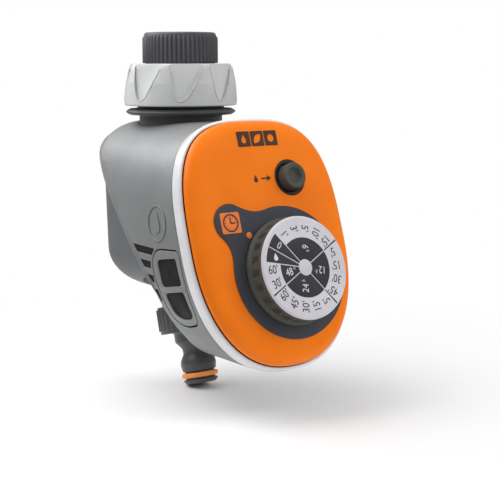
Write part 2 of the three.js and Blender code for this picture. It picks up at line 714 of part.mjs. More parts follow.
// A sealed pocket that the drawer slides into, open at the left.
function batterySleeve() {
  const left = DRAWER.innerX;
  const inside = batterySpace(2, left - 20, SLEEVE_END - 1.5);
  const around = batterySpace(3.4, left + GAP, SLEEVE_END);
  const outside = overlap(around, housingBody(WALL + GAP, HOUSING_FRONT));
  return cut(outside, inside, belowUnderside(WALL + GAP));
}

// ---------------------------------------------------------------- electronics

function circuitBoard() {
  const outline = new THREE.Shape()
    .moveTo(-28, -22)
    .lineTo(28, -22)
    .lineTo(30, 10)
    .lineTo(26, 40)
    .lineTo(-26, 40)
    .lineTo(-30, 10)
    .closePath();
  const board = prism(outline, BOARD.back, BOARD.front);
  return cut(board, ...boardScrewPlaces().map(([x, v]) => moved(rod(1.9, -20, 0, 12), x, v)));
}

function boardScrewPlaces() {
  return [[-22, 34], [22, 34]];
}

function solenoidYoke(start, end) {
  const half = 12.4;
  const plate = 1.6;
  const frame = block(2 * half, 2 * half - 5, end - start).translate(0, 0, (start + end) / 2);
  const window = block(2 * half - 2 * plate, 40, end - start - 2 * plate)
    .translate(0, 0, (start + end) / 2);
  return cut(frame, window, rod(3.9, start - 1, end - plate - 0.2, 16));
}

// ---------------------------------------------------------------- assembly

const timer = new THREE.Group();

timer.add(
  node('tap_adaptor', tapAdaptor(), DARK),
  node('adaptor_washer', tube(12.9, 9.8, ADAPTOR.top - 15.7, ADAPTOR.top - 13.7, 28), RUBBER),
  node('inlet_nut', inletNut(), PALE),
  node('nut_clip_ring', nutClipRing(), NYLON),
  node('inlet_filter', inletFilter(), NYLON),
  node('valve_body', valveBody(), DARK),
  node('main_housing', mainHousing(), SILVER),
  node('rear_cover', rearCover(), MID_GREY),
);

// Valve parts, on the diaphragm's axis.
const BONNET_FACE = -VALVE.face + 2.6;
const COIL_START = BONNET_FACE + 9.4;
const COIL_END = COIL_START + 17.6;
const valve = new THREE.Group();
valve.position.set(0, 0, VALVE.z);
valve.rotation.x = Math.PI / 2;
valve.add(
  node('diaphragm', diaphragm(), RUBBER),
  node('diaphragm_plate', tube(7.5, 1.6, -VALVE.face + 2.2, -VALVE.face + 3.4, 20), NYLON),
  node('diaphragm_spring', moved(coil(5.6, 0.4, 3.6, 3), 0, 0, -VALVE.face + 4.2), STEEL),
  node('valve_bonnet', valveBonnet(), DARK),
  node('solenoid_yoke', solenoidYoke(COIL_START, COIL_END), STEEL),
  node('solenoid_coil', tube(9.8, 3.9, COIL_START + 1.9, COIL_END - 1.9, 28), COPPER),
  node('solenoid_plunger', rod(3.4, BONNET_FACE + 1.4, COIL_END - 5.6, 20), STEEL),
  node('plunger_spring', moved(coil(2.2, 0.35, 2.4, 3), 0, 0, COIL_END - 4.9), STEEL),
);
CORNERS.forEach(([x, y], i) => {
  const bolt = node(`bonnet_screw_${i + 1}`, screw(3, 1.8, 1.1, 9.5), STEEL);
  bolt.position.set(x * BONNET_CORNER, y * BONNET_CORNER, BONNET_FACE + 4 + GAP + 1.8);
  valve.add(bolt);
});
timer.add(valve);

// Screws that hold the rear cover to the housing, square to the diagonal underside.
rearScrewPlaces().forEach(([x, y, z], i) => {
  const bolt = node(`rear_screw_${i + 1}`, screw(3, 2, 1.4, 8), STEEL);
  const holder = new THREE.Group();
  holder.position.set(x, y, z);
  holder.rotation.x = (-3 * Math.PI) / 4;
  bolt.position.z = SCREW_HEAD_LIFT;
  holder.add(bolt);
  timer.add(holder);
});

// Hose connector, on the outlet's axis.
const outlet = new THREE.Group();
outlet.position.set(0, OUTLET.y, OUTLET.z);
outlet.rotation.x = -OUTLET_TILT;
outlet.add(
  node('outlet_connector', outletConnector(), MID_GREY),
  node('outlet_o_ring', tube(8.6, 7.1, -1.2, 1.2, 32), SEAL_ORANGE),
  node('outlet_washer', tube(12.6, 7, SPIGOT.bottom + 2, SPIGOT.bottom + 4.4, 24), RUBBER),
);
timer.add(outlet);

// Everything that stands square to the tilted front panel.
const panel = new THREE.Group();
panel.position.set(0, PANEL.y, PANEL.z);
panel.rotation.x = Math.PI / 2 - PANEL.tilt;
panel.add(
  node('trim_ring', trimRing(), WHITE),
  node('front_seal', frontSeal(), RUBBER),
  node('front_cover', frontCover(), ORANGE),
  node('dial_overlay', dialOverlay(), SOFT_BLACK),
  node('circuit_board', circuitBoard(), BOARD_GREEN),
);

const dial = new THREE.Group();
dial.position.set(DIAL.x, DIAL.v, 0);
dial.add(
  node('dial_knob', dialKnob(), BUTTON_GREY),
  node('dial_scale_disc', scaleDisc(), DISC_WHITE),
  node('dial_shaft', rod(3, -3.4, DIAL.base + 4.6, 16), STEEL),
  node('rotary_switch', cut(
    block(15, 15, 4.4).translate(0, 0, BOARD.front + GAP + 2.2),
    rod(3.3, -3.8, 2, 16),
  ), RUBBER),
);
panel.add(dial);

const button = new THREE.Group();
button.position.set(BUTTON.x, BUTTON.v, 0);
button.add(
  node('button_bezel', turned([
    [6.2, 1.3], [BUTTON.well - GAP, 1.3], [BUTTON.well - GAP, 5.2], [6.6, 4.4], [6.2, 3.6], [6.2, 1.3],
  ], 32), SOFT_BLACK),
  node('manual_button', manualButton(), BUTTON_GREY),
  node('button_spring', moved(coil(5.2, 0.35, 2.8, 2), 0, 0, -3.6), STEEL),
  node('tact_switch', join(
    block(6, 6, 1.5).translate(0, 0, BOARD.front + GAP + 0.75),
    rod(1.6, BOARD.front + 1, -2.4, 12),
  ), SOFT_BLACK),
);
panel.add(button);

boardScrewPlaces().forEach(([x, v], i) => {
  const bolt = node(`board_screw_${i + 1}`, screw(2.8, 1.6, 1.3, 6), STEEL);
  bolt.rotation.x = Math.PI;
  bolt.position.set(x, v, BOARD.back - GAP - 1.6);
  panel.add(bolt);
});
const chip = node('control_chip', block(12, 9, 2), RUBBER);
chip.position.set(-14, 18, BOARD.front + GAP + 1);
panel.add(chip);
timer.add(panel);

// Battery drawer and what it carries.
timer.add(
  node('battery_drawer', batteryDrawer(), SILVER),
  node('drawer_grip_upper', grip(0), RUBBER),
  node('drawer_grip_lower', grip(1), RUBBER),
  node('battery', batterySpace(
    0,
    DRAWER.innerX + GAP,
    DRAWER.innerX + BATTERY.length - 2.4,
  ), BATTERY_BLUE),
  node('battery_sleeve', batterySleeve(), DARK),
  node('battery_contacts', batterySpace(-2, SLEEVE_END - 4.2, SLEEVE_END - 1.8), COPPER),
);

// Leads from the battery pocket to the back of the circuit board.
const redPath = [[SLEEVE_END + 0.5, -51, -68], [25, -51, -62], [26, -54, -54], [24, -56, -48]];
const blackPath = [[SLEEVE_END + 0.5, -55, -70], [27, -55, -63], [28.5, -57, -55], [27, -58, -49]];
timer.add(
  node('battery_lead_red', cable(LEAD, ...redPath), CABLE_RED),
  node('battery_lead_black', cable(LEAD, ...blackPath), RUBBER),
);

const bounds = new THREE.Box3().setFromObject(timer, true);
const middle = bounds.getCenter(new THREE.Vector3());
timer.position.set(-middle.x, -middle.y, -bounds.min.z);

export default timer;
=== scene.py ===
# Looks of the drip irrigation timer: smooth shells, the printed dial and the finish of every part.
# Shapes are given in millimetres in the local frames of the inlet, the outlet and the front panel.
# Those frames come from the record's joints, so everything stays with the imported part.
import json
import math

import bmesh
import bpy
from mathutils import Matrix, Vector


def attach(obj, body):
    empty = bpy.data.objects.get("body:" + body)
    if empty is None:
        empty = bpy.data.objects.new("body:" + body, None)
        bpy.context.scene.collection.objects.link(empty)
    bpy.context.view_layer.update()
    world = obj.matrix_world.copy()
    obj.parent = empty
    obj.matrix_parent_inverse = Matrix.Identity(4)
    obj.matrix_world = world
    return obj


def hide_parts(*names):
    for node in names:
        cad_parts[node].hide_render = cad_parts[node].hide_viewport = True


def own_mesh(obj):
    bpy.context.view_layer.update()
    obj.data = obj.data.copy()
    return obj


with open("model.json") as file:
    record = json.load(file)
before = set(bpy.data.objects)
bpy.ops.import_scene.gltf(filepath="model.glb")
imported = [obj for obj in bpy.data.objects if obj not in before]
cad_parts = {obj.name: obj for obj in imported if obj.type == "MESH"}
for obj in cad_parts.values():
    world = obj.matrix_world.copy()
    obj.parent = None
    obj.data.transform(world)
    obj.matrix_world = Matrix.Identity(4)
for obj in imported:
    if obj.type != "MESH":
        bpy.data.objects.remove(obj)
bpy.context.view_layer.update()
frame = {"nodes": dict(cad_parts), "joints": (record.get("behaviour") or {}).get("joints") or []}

joints = {joint["name"]: joint for joint in frame["joints"]}
scene = bpy.context.scene

# ---------------------------------------------------------------- dimensions, millimetres

MM = 0.001
GAP = 0.3
WALL = 2.2

DIAL_X, DIAL_V = 4.2, -14.4  # the dial's centre on the panel
PANEL_HALF_WIDTH, PANEL_HALF_HEIGHT = 41.6, 55
PANEL_TOP_POWER, PANEL_BOTTOM_POWER = 3.1, 2.3
CROWN = 5
RING_FRONT, RING_LEDGE, RING_LIP, RING_BACK, RING_INSET = 0.1, -1.1, 1, -6.3, 6
HOUSING_FRONT = -6.6

REAR_Y, REAR_ROUNDING, REAR_TAPER = 37.7, 20, 0.89
SLOPE, KNEE_Y, FOOT_Y, FOOT_Z = 41, -36.5, -45.5, -96

BACK_HALF_WIDTH, BACK_REAR, BACK_FRONT = 34, 24.5, -50
BACK_BOTTOM, BACK_ROUNDING, BACK_POWER = -80.5, 17, 4.6

NECK, LOWER_NECK, FLANGE, FLANGE_HALF, INLET_BORE = 20.3, 19.4, 26, 1.4, 12
GROOVE_LOW, GROOVE_HIGH = 3.9, 5.3
NUT_BOTTOM, NUT_TOP, NUT_FACETS = 2.8, 22, 8
NUT_SIDE = [(26.3, 3.5), (25.9, 13), (24.7, 19.8), (24.1, 21.3)]  # the nut's side, from its foot up
NUT_START = 0.311  # where the first facet stands, in radians
ADAPTOR_BOTTOM, ADAPTOR_TOP, ADAPTOR_RADIUS, ADAPTOR_RIBS, TAP_THREAD = 8, 36.3, 17.6, 52, 13.2

VALVE_Z, VALVE_FACE, VALVE_RADIUS, VALVE_BORE, VALVE_SEAT, BARREL = -40, 16.5, 20, 16.2, 7.5, 14.5
BONNET_CORNER = 16.4

COLLAR_TOP, COLLAR_BOTTOM, COLLAR_RADIUS, COLLAR_RIBS, OUTLET_BORE = 34, 21, 16.2, 34, 4.6
SPIGOT_TOP, SPIGOT_BOTTOM, SPIGOT_RADIUS = 52, 25, 13

KNOB_BASE, KNOB_TOP, KNOB_BASE_RADIUS, KNOB_RADIUS, DISC_RADIUS = 6.1, 15.2, 23.5, 22.5, 21.8
KNOB_FLUTES, FLUTE_HALF_WIDTH, FLUTE_DEPTH = 24, 1.9, 1.5
PAD_RADIUS = 29
BUTTON_X, BUTTON_V, BUTTON_RADIUS, BUTTON_WELL, BUTTON_TOP = 14, 26.8, 5.8, 8.1, 9.5

DRAWER_INNER_X, DRAWER_LENGTH = -33, 50
DRAWER_Y, DRAWER_Z = -52.6, -72.1
BATTERY_LENGTH, BATTERY_WIDTH, BATTERY_DEPTH, BATTERY_ANGLE = 48.5, 26, 17, math.radians(68)
POCKET_DEPTH, PAD_DEPTH = 1.5, 0.5  # how far the finger recesses and their dark pads lie below the skin

# ---------------------------------------------------------------- local frames


def frame_at(origin, up_axis):
    """A millimetre frame at a point of the row, with Z along up_axis and X to the right."""
    up = Vector(up_axis).normalized()
    right = Vector((1, 0, 0))
    turn = Matrix((right, up.cross(right), up)).transposed().to_4x4()
    return Matrix.Translation(origin) @ turn @ Matrix.Scale(MM, 4)


def joint_frame(name):
    return frame_at(joints[name]["pos_m"], joints[name]["axis"])


INLET = joint_frame("nut_spin")
OUTLET = joint_frame("connector_spin")
DIAL = joint_frame("dial_turn")
PANEL = DIAL @ Matrix.Translation((-DIAL_X, -DIAL_V, 0))
PANEL_IN_INLET = INLET.inverted() @ PANEL
OUTLET_IN_INLET = INLET.inverted() @ OUTLET
VALVE_IN_INLET = Matrix.Translation((0, 0, VALVE_Z)) @ Matrix.Rotation(math.pi / 2, 4, "X")
BUTTON = PANEL @ Matrix.Translation((BUTTON_X, BUTTON_V, 0))

# ---------------------------------------------------------------- shapes


def rounded(corners, steps=4, closed=True):
    """A polyline through corners (a, b) or (a, b, radius); a corner with a radius becomes an arc."""
    points = []
    count = len(corners)
    for i, corner in enumerate(corners):
        here = Vector(corner[:2])
        inner = closed or 0 < i < count - 1
        if len(corner) == 2 or not inner:
            points.append(here)
            continue
        before = Vector(corners[i - 1][:2]) - here
        after = Vector(corners[(i + 1) % count][:2]) - here
        reach = corner[2] / math.tan(before.angle(after) / 2)
        reach = min(reach, 0.49 * before.length, 0.49 * after.length)
        start = here + before.normalized() * reach
        end = here + after.normalized() * reach
        for k in range(steps + 1):
            t = k / steps
            points.append((1 - t) ** 2 * start + 2 * t * (1 - t) * here + t**2 * end)
    return points


def arc(x, y, radius, start, end, steps=24):
    """Points of an arc; the angles are in degrees."""
    angles = [math.radians(start + (end - start) * k / steps) for k in range(steps + 1)]
    return [Vector((x + radius * math.cos(a), y + radius * math.sin(a))) for a in angles]


def bezier(p, q, r, s, steps=16):
    """Points of a cubic curve between its ends, without them."""
    points = []
    for k in range(1, steps):
        t = k / steps
        u = 1 - t
        first_half = u**3 * Vector(p) + 3 * u * u * t * Vector(q)
        points.append(first_half + 3 * u * t * t * Vector(r) + t**3 * Vector(s))
    return points


def path(start, *segments):
    """An outline from a start point and segments of one point (a line), two (a quadratic curve) or
    three (a cubic curve)."""
    points = [Vector(start)]
    for segment in segments:
        here = points[-1]
        end = Vector(segment[-1])
        if len(segment) == 2:
            control = Vector(segment[0])
            points += bezier(here, here.lerp(control, 2 / 3), end.lerp(control, 2 / 3), end, 10)
        if len(segment) == 3:
            points += bezier(here, segment[0], segment[1], end, 16)
        points.append(end)
    return points


def faces_between(rows, around, closed):
    faces = []
    last = rows if closed else rows - 1
    for i in range(last):
        low = i * around
        high = ((i + 1) % rows) * around
        for k in range(around):
            n = (k + 1) % around
            faces.append((low + k, low + n, high + n, high + k))
    return faces


def loft(rings, closed=False):
    """A solid through rings of points; open ends are capped."""
    around = len(rings[0])
    faces = faces_between(len(rings), around, closed)
    if not closed:
        faces.append(tuple(reversed(range(around))))
        top = (len(rings) - 1) * around
        faces.append(tuple(range(top, top + around)))
    return [point for ring in rings for point in ring], faces


def revolve(profile, segments=96, ripple=None, closed=True):
    """A solid from a profile of (radius, height) turned about Z. ripple(angle, radius, height) may
    change the radius. An open profile starts and ends on the axis."""
    rings = []
    for radius, height in profile:
        ring = []
        for k in range(segments):
            angle = 2 * math.pi * k / segments
            reach = ripple(angle, radius, height) if ripple else radius
            ring.append((reach * math.cos(angle), reach * math.sin(angle), height))
        rings.append(ring)
    faces = faces_between(len(rings), segments, closed)
    return [point for ring in rings for point in ring], faces


def rod(radius, low, high, segments=64):
    return revolve([(0, low), (radius, low), (radius, high), (0, high)], segments, closed=False)


def prism(outline, low, high):
    """A plain solid from an outline in X and Y."""
    return loft([[(p[0], p[1], low) for p in outline], [(p[0], p[1], high) for p in outline]])


def along_x(shape):
    """Stands a solid drawn in (y, z) along X."""
    vertices, faces = shape
    return [(v[2], v[0], v[1]) for v in vertices], faces


def placed(shape, matrix):
    vertices, faces = shape
    return [matrix @ Vector(v) for v in vertices], faces


def block(width, depth, height):
    x, y = width / 2, depth / 2
    return prism([(-x, -y), (x, -y), (x, y), (-x, y)], -height / 2, height / 2)


# ---------------------------------------------------------------- meshes


def to_object(name, shape, place):
    """A closed mesh object in the row frame, with faces that point out."""
    vertices, faces = shape
    mesh = bpy.data.meshes.new(name)
    mesh.from_pydata([place @ Vector(v) for v in vertices], [], faces)
    work = bmesh.new()
    work.from_mesh(mesh)
    bmesh.ops.remove_doubles(work, verts=work.verts, dist=1e-7)
    bmesh.ops.recalc_face_normals(work, faces=work.faces)
    work.to_mesh(mesh)
    work.free()
    obj = bpy.data.objects.new(name, mesh)
    scene.collection.objects.link(obj)
    return obj


def apply_modifiers(obj):
    graph = bpy.context.evaluated_depsgraph_get()
    mesh = bpy.data.meshes.new_from_object(obj.evaluated_get(graph))
    obj.modifiers.clear()
    obj.data = mesh


def combine(obj, operation, tools, place):
    """Cuts tools out of obj, adds them to it, or keeps what they share. A tool is a shape, drawn in
    the frame of the place, or an object."""
    for tool in tools:
        if not isinstance(tool, bpy.types.Object):
            tool = to_object("tool", tool, place)
        modifier = obj.modifiers.new("combine", "BOOLEAN")
        modifier.operation = operation
        modifier.solver = "EXACT"
        modifier.object = tool
        apply_modifiers(obj)
        bpy.data.objects.remove(tool)


def cut(obj, place, *tools):
    combine(obj, "DIFFERENCE", tools, place)


def join(obj, place, *tools):
    combine(obj, "UNION", tools, place)


def keep(obj, place, *tools):
    combine(obj, "INTERSECT", tools, place)


def bevel_edges(obj, width, angle=40, segments=2):
    modifier = obj.modifiers.new("bevel", "BEVEL")
    modifier.width = width * MM
    modifier.segments = segments
    modifier.limit_method = "ANGLE"
    modifier.angle_limit = math.radians(angle)
    apply_modifiers(obj)


def shade(obj, angle=35):
    obj.data.shade_smooth()
    obj.data.set_sharp_from_angle(angle=math.radians(angle))


def piece(obj, body, slot, *nodes, material=None, angle=35):
    """Makes obj a shown piece that rides on a body and stands for CAD nodes. It has its slot's
    material, unless another one is named."""
    shade(obj, angle)
    obj.data.materials.clear()
    obj.data.materials.append(MATERIALS[material or slot])
    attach(obj, body)
    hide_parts(*nodes)


def plate(name, outlines, low, high, bevel, place):
    """A flat piece with bevelled edges from an outer outline and any holes in it."""
    curve = bpy.data.curves.new(name, "CURVE")
    curve.dimensions = "2D"
    curve.fill_mode = "BOTH"
    for outline in outlines:
        spline = curve.splines.new("POLY")
        spline.points.add(len(outline) - 1)
        for point, place_of_point in zip(spline.points, outline):
            point.co = (place_of_point[0], place_of_point[1], 0, 1)
        spline.use_cyclic_u = True
    curve.extrude = (high - low) / 2 - bevel
    curve.bevel_depth = bevel
    curve.bevel_resolution = 2
    curve.offset = -bevel
    return from_curve(name, curve, place @ Matrix.Translation((0, 0, (low + high) / 2)))


def from_curve(name, curve, place):
    """A mesh object from a filled curve or a text."""
    source = bpy.data.objects.new(name, curve)
    scene.collection.objects.link(source)
    graph = bpy.context.evaluated_depsgraph_get()
    mesh = bpy.data.meshes.new_from_object(source.evaluated_get(graph))
    bpy.data.objects.remove(source)
    work = bmesh.new()
    work.from_mesh(mesh)
    bmesh.ops.remove_doubles(work, verts=work.verts, dist=1e-4)
    bmesh.ops.recalc_face_normals(work, faces=work.faces)
    work.to_mesh(mesh)
    work.free()
    mesh.transform(place)
    obj = bpy.data.objects.new(name, mesh)
    scene.collection.objects.link(obj)
    return obj


def merged(name, objects):
    """One object from several."""
    work = bmesh.new()
    for obj in objects:
        work.from_mesh(obj.data)
        bpy.data.objects.remove(obj)
    mesh = bpy.data.meshes.new(name)
    work.to_mesh(mesh)
    work.free()
    obj = bpy.data.objects.new(name, mesh)
    scene.collection.objects.link(obj)
    return obj


# ---------------------------------------------------------------- finishes


class Finish:
    """A material under construction: nodes are added and linked one by one."""

    def __init__(self, name):
        self.material = bpy.data.materials.new(name)
        self.material.use_nodes = True
        self.tree = self.material.node_tree
        self.shader = self.tree.nodes["Principled BSDF"]
        self.place = self.add("ShaderNodeTexCoord").outputs["Object"]

    def add(self, kind, **settings):
        node = self.tree.nodes.new(kind)
        for key, value in settings.items():
            setattr(node, key, value)
        return node

    def link(self, source, target):
        self.tree.links.new(source, target)

    def noise(self, scale, detail=3.0, stretch=(1, 1, 1)):
        """Noise with the given number of grains to a metre."""
        mapping = self.add("ShaderNodeMapping")
        mapping.inputs["Scale"].default_value = stretch
        texture = self.add("ShaderNodeTexNoise")
        texture.inputs["Scale"].default_value = scale
        texture.inputs["Detail"].default_value = detail
        self.link(self.place, mapping.inputs["Vector"])
        self.link(mapping.outputs["Vector"], texture.inputs["Vector"])
        return texture.outputs["Fac"]

    def spread(self, value, low, high):
        """Maps a 0 to 1 value onto low to high."""
        ranged = self.add("ShaderNodeMapRange")
        ranged.inputs["From Min"].default_value = 0.3
        ranged.inputs["From Max"].default_value = 0.7
        ranged.inputs["To Min"].default_value = low
        ranged.inputs["To Max"].default_value = high
        self.link(value, ranged.inputs["Value"])
        return ranged.outputs["Result"]

    def mix(self, factor, first, second):
        mixer = self.add("ShaderNodeMix", data_type="RGBA")
        self.link(factor, mixer.inputs["Factor"])
        mixer.inputs[6].default_value = (*first, 1)
        mixer.inputs[7].default_value = (*second, 1)
        return mixer.outputs[2]

    def grain(self, height, amount, edge):
        """Bump from a height, on normals that are rounded at the edges."""
        bevel = self.add("ShaderNodeBevel", samples=4)
        bevel.inputs["Radius"].default_value = edge * MM
        bump = self.add("ShaderNodeBump")
        bump.inputs["Strength"].default_value = amount
        bump.inputs["Distance"].default_value = 0.05 * MM
        self.link(height, bump.inputs["Height"])
        self.link(bevel.outputs["Normal"], bump.inputs["Normal"])
        self.link(bump.outputs["Normal"], self.shader.inputs["Normal"])

    def set(self, **values):
        for name, value in values.items():
            self.shader.inputs[name.replace("_", " ")].default_value = value


def linear(red, green, blue):
    """A colour given as 0 to 255 on screen, in the renderer's linear light."""
    values = [channel / 255 for channel in (red, green, blue)]
    return tuple(v / 12.92 if v <= 0.04045 else ((v + 0.055) / 1.055) ** 2.4 for v in values)


def plastic(name, colour, roughness, gloss=0.0, grains=2500, bump=0.3, edge=0.25, metallic=0.0,
            specular=0.5):
    """Moulded plastic: a slight cloud in its colour and sheen, and a fine grain."""
    finish = Finish(name)
    cloud = finish.spread(finish.noise(60, 4), 0, 1)
    paler = tuple(min(1, c * 1.06 + 0.004) for c in colour)
    darker = tuple(c * 0.94 for c in colour)
    finish.link(finish.mix(cloud, darker, paler), finish.shader.inputs["Base Color"])
    sheen = finish.spread(finish.noise(180, 5), roughness * 0.92, roughness * 1.08)
    finish.link(sheen, finish.shader.inputs["Roughness"])
    finish.set(Coat_Weight=gloss, Coat_Roughness=0.08, Metallic=metallic, Specular_IOR_Level=specular)
    finish.grain(finish.noise(grains, 2), bump, edge)
    return finish.material


def rubber(name, colour, grains=1600):
    """Matt rubber with a soft, uneven sheen."""
    finish = Finish(name)
    dust = finish.spread(finish.noise(300, 6), 0, 1)
    dusty = tuple(c * 1.1 + 0.004 for c in colour)
    finish.link(finish.mix(dust, colour, dusty), finish.shader.inputs["Base Color"])
    finish.link(finish.spread(finish.noise(90, 3), 0.6, 0.85), finish.shader.inputs["Roughness"])
    finish.set(Specular_IOR_Level=0.25)
    finish.grain(finish.noise(grains, 4), 0.5, 0.2)
    return finish.material


def metal(name, colour, stretch):
    """Drawn or turned metal with fine streaks."""
    finish = Finish(name)
    streaks = finish.noise(900, 3, stretch)
    darker = tuple(c * 0.8 for c in colour)
    finish.link(finish.mix(streaks, darker, colour), finish.shader.inputs["Base Color"])
    finish.link(finish.spread(streaks, 0.2, 0.4), finish.shader.inputs["Roughness"])
    finish.set(Metallic=1.0)
    finish.grain(streaks, 0.2, 0.1)
    return finish.material


def windings(name, colour):
    """Enamelled wire laid side by side round the coil, which lies along Y, with painted shade in the crevices
    between the turns.
    """
    finish = Finish(name)
    wave = finish.add("ShaderNodeTexWave", bands_direction="Y")
    wave.inputs["Scale"].default_value = 500
    wave.inputs["Distortion"].default_value = 0.6
    finish.link(finish.place, wave.inputs["Vector"])
    lines = wave.outputs["Fac"]
    # The dark bands are painted shade in the crevices between the wires; the same bands give the bump.
    darker = tuple(c * 0.35 for c in colour)
    finish.link(finish.mix(lines, darker, colour), finish.shader.inputs["Base Color"])
    finish.set(Metallic=0.9, Roughness=0.35)
    finish.grain(lines, 0.8, 0.1)
    return finish.material


def board_mask(name, base, track):
    """Green solder mask with tracks under it."""
    finish = Finish(name)
    brick = finish.add("ShaderNodeTexBrick")
    brick.inputs["Scale"].default_value = 180
    brick.inputs["Mortar Size"].default_value = 0.05
    brick.inputs["Color1"].default_value = (*base, 1)
    brick.inputs["Color2"].default_value = (*[c * 0.8 for c in base], 1)
    brick.inputs["Mortar"].default_value = (*track, 1)
    finish.link(finish.place, brick.inputs["Vector"])
    finish.link(brick.outputs["Color"], finish.shader.inputs["Base Color"])
    finish.set(Roughness=0.35)
    finish.grain(finish.noise(800, 2), 0.2, 0.1)
    return finish.material


ORANGE_COLOUR = linear(255, 126, 17)
PRINT_COLOUR = linear(52, 52, 58)
PALE_COLOUR = linear(214, 212, 219)

MATERIALS = {
    "dark_plastic": plastic("dark_plastic", linear(78, 79, 81), 0.36, bump=0.35, edge=0.3, specular=0.4),
    "pale_plastic": plastic("pale_plastic", linear(198, 199, 199), 0.42, 0.1, edge=0.5),
    "silver_plastic": plastic("silver_plastic", linear(133, 134, 135), 0.5, 0.05, 3500, 0.5, 0.5, 0.3),
    "mid_grey_plastic": plastic("mid_grey_plastic", linear(97, 99, 101), 0.45, edge=0.4),
    "orange_plastic": plastic("orange_plastic", ORANGE_COLOUR, 0.3, 0.0, 500, 0.04, 0.3, specular=0.2),
    "white_plastic": plastic("white_plastic", linear(228, 228, 231), 0.25, 0.4, 500, 0.04, 0.3),
    "pad_plastic": plastic("pad_plastic", linear(60, 63, 70), 0.55, 0.0, 3500, 0.5, 0.15),
    "knob_plastic": plastic("knob_plastic", linear(80, 81, 74), 0.5, 0.0, 1500, 0.3, 0.2, specular=0.25),
    "scale_plastic": plastic("scale_plastic", PALE_COLOUR, 0.35, 0.2, 1500, 0.1, 0.1),
    "print_dark": plastic("print_dark", PRINT_COLOUR, 0.4, 0.0, 2500, 0.2, 0.02),
    "print_brown": plastic("print_brown", linear(70, 45, 30), 0.4, 0.0, 2500, 0.2, 0.02),
    "print_pale": plastic("print_pale", linear(225, 223, 228), 0.4, 0.0, 2500, 0.2, 0.02),
    "print_orange": plastic("print_orange", linear(238, 124, 50), 0.35, 0.1, 2500, 0.2, 0.05),
    "seal_orange": rubber("seal_orange", linear(252, 158, 80)),
    "black_rubber": rubber("black_rubber", linear(17, 17, 18)),
    "black_plastic": plastic("black_plastic", linear(20, 20, 21), 0.55, 0.0, specular=0.25),
    "steel": metal("steel", linear(205, 207, 210), (1, 1, 12)),
    "copper": windings("copper", linear(196, 110, 62)),
    "contact_metal": metal("contact_metal", linear(214, 150, 96), (1, 1, 12)),
    "nylon": plastic("nylon", linear(228, 226, 216), 0.4, 0.1),
    "board_green": board_mask("board_green", linear(24, 92, 56), linear(70, 150, 96)),
    "battery_wrap": plastic("battery_wrap", linear(46, 78, 138), 0.25, 0.5, 900, 0.1, 0.6),
    "red_cable": plastic("red_cable", linear(178, 34, 42), 0.35, 0.2),
}

# ---------------------------------------------------------------- casing


def panel_radius(angle, inset=0.0):
    """The front panel's outline: a rounded square, squarer at the top."""
    power = PANEL_TOP_POWER if math.sin(angle) > 0 else PANEL_BOTTOM_POWER
    across = abs(math.cos(angle) / (PANEL_HALF_WIDTH - inset)) ** power
    along = abs(math.sin(angle) / (PANEL_HALF_HEIGHT - inset)) ** power
    return (across + along) ** (-1 / power)


def panel_ring(inset, height, around=200):
    ring = []
    for k in range(around):
        angle = 2 * math.pi * k / around
        radius = panel_radius(angle, inset)
        ring.append((radius * math.cos(angle), radius * math.sin(angle), height))
    return ring


def housing_body(depth, front=HOUSING_FRONT):
    """The housing's skin, set in by a depth: the panel's outline carried back and rounded off."""
    centre = PANEL_IN_INLET @ Vector((0, 0, 0))
    up = PANEL_IN_INLET.to_3x3() @ Vector((0, 1, 0))
    lean, rise = up.y, up.z
    rear = REAR_Y - depth
    bend = REAR_ROUNDING - depth
    around, straight, turns = 180, 6, 18
    rings = []
    for step in range(straight + turns + 1):
        turn = max(0, step - straight) / turns * math.pi / 2
        inset = depth + bend * (1 - math.cos(turn))
        ring = []
        for k in range(around):
            angle = 2 * math.pi * k / around
            radius = panel_radius(angle, inset)
            v = radius * math.sin(angle)
            start = centre.y + v * lean - front * rise
            end = rear - bend
            y = start + min(1, step / straight) * (end - start) + bend * math.sin(turn)
            width = 1 - (1 - REAR_TAPER) * min(1, (y - start) / (end - start))
            ring.append((radius * math.cos(angle) * width, y, centre.z + v * rise + front * lean))
        rings.append(ring)
    return loft(rings)


def below_underside(depth):
    """Everything behind and below the housing's underside, brought in by a depth."""
    far = 200
    drop = SLOPE - depth * math.sqrt(2)
    outline = [
        (far, far - drop),
        (KNEE_Y - depth, KNEE_Y - depth - drop),
        (FOOT_Y - depth, FOOT_Z),
        (FOOT_Y - depth, -far),
        (far, -far),
    ]
    return along_x(prism(outline, -far, far))


def back_body(depth, above=0):
    """The rear cover's skin, set in by a depth."""
    top = -20 + above
    half = (BACK_REAR - BACK_FRONT) / 2
    middle = (BACK_REAR + BACK_FRONT) / 2
    bottom = BACK_BOTTOM + depth
    bend = BACK_ROUNDING - depth
    around, turns = 160, 12
    rings = []
    for step in range(turns + 2):
        turn = max(0, step - 1) / turns * math.pi / 2
        inset = depth + bend * (1 - math.cos(turn))
        z = top if step == 0 else bottom + bend * (1 - math.sin(turn))
        ring = []
        for k in range(around):
            angle = 2 * math.pi * k / around
            across = abs(math.cos(angle) / (BACK_HALF_WIDTH - inset)) ** BACK_POWER
            along = abs(math.sin(angle) / (half - inset)) ** BACK_POWER
            radius = (across + along) ** (-1 / BACK_POWER)
            y = middle + radius * math.sin(angle) + 0.05 * (z + 60)
            ring.append((radius * math.cos(angle), y, z))
        rings.append(ring)
    return loft(rings)


def rear_screw_places():
    heights = (-36, -66)
    return [(x, z + SLOPE, z) for z in heights for x in (-27, 27)]


def diagonal_post(radius, place, low, high):
    """A rod square to the diagonal underside, through a point that lies on it."""
    turn = Matrix.Rotation(-3 * math.pi / 4, 4, "X")
    return placed(rod(radius, low, high, 40), Matrix.Translation(place) @ turn)


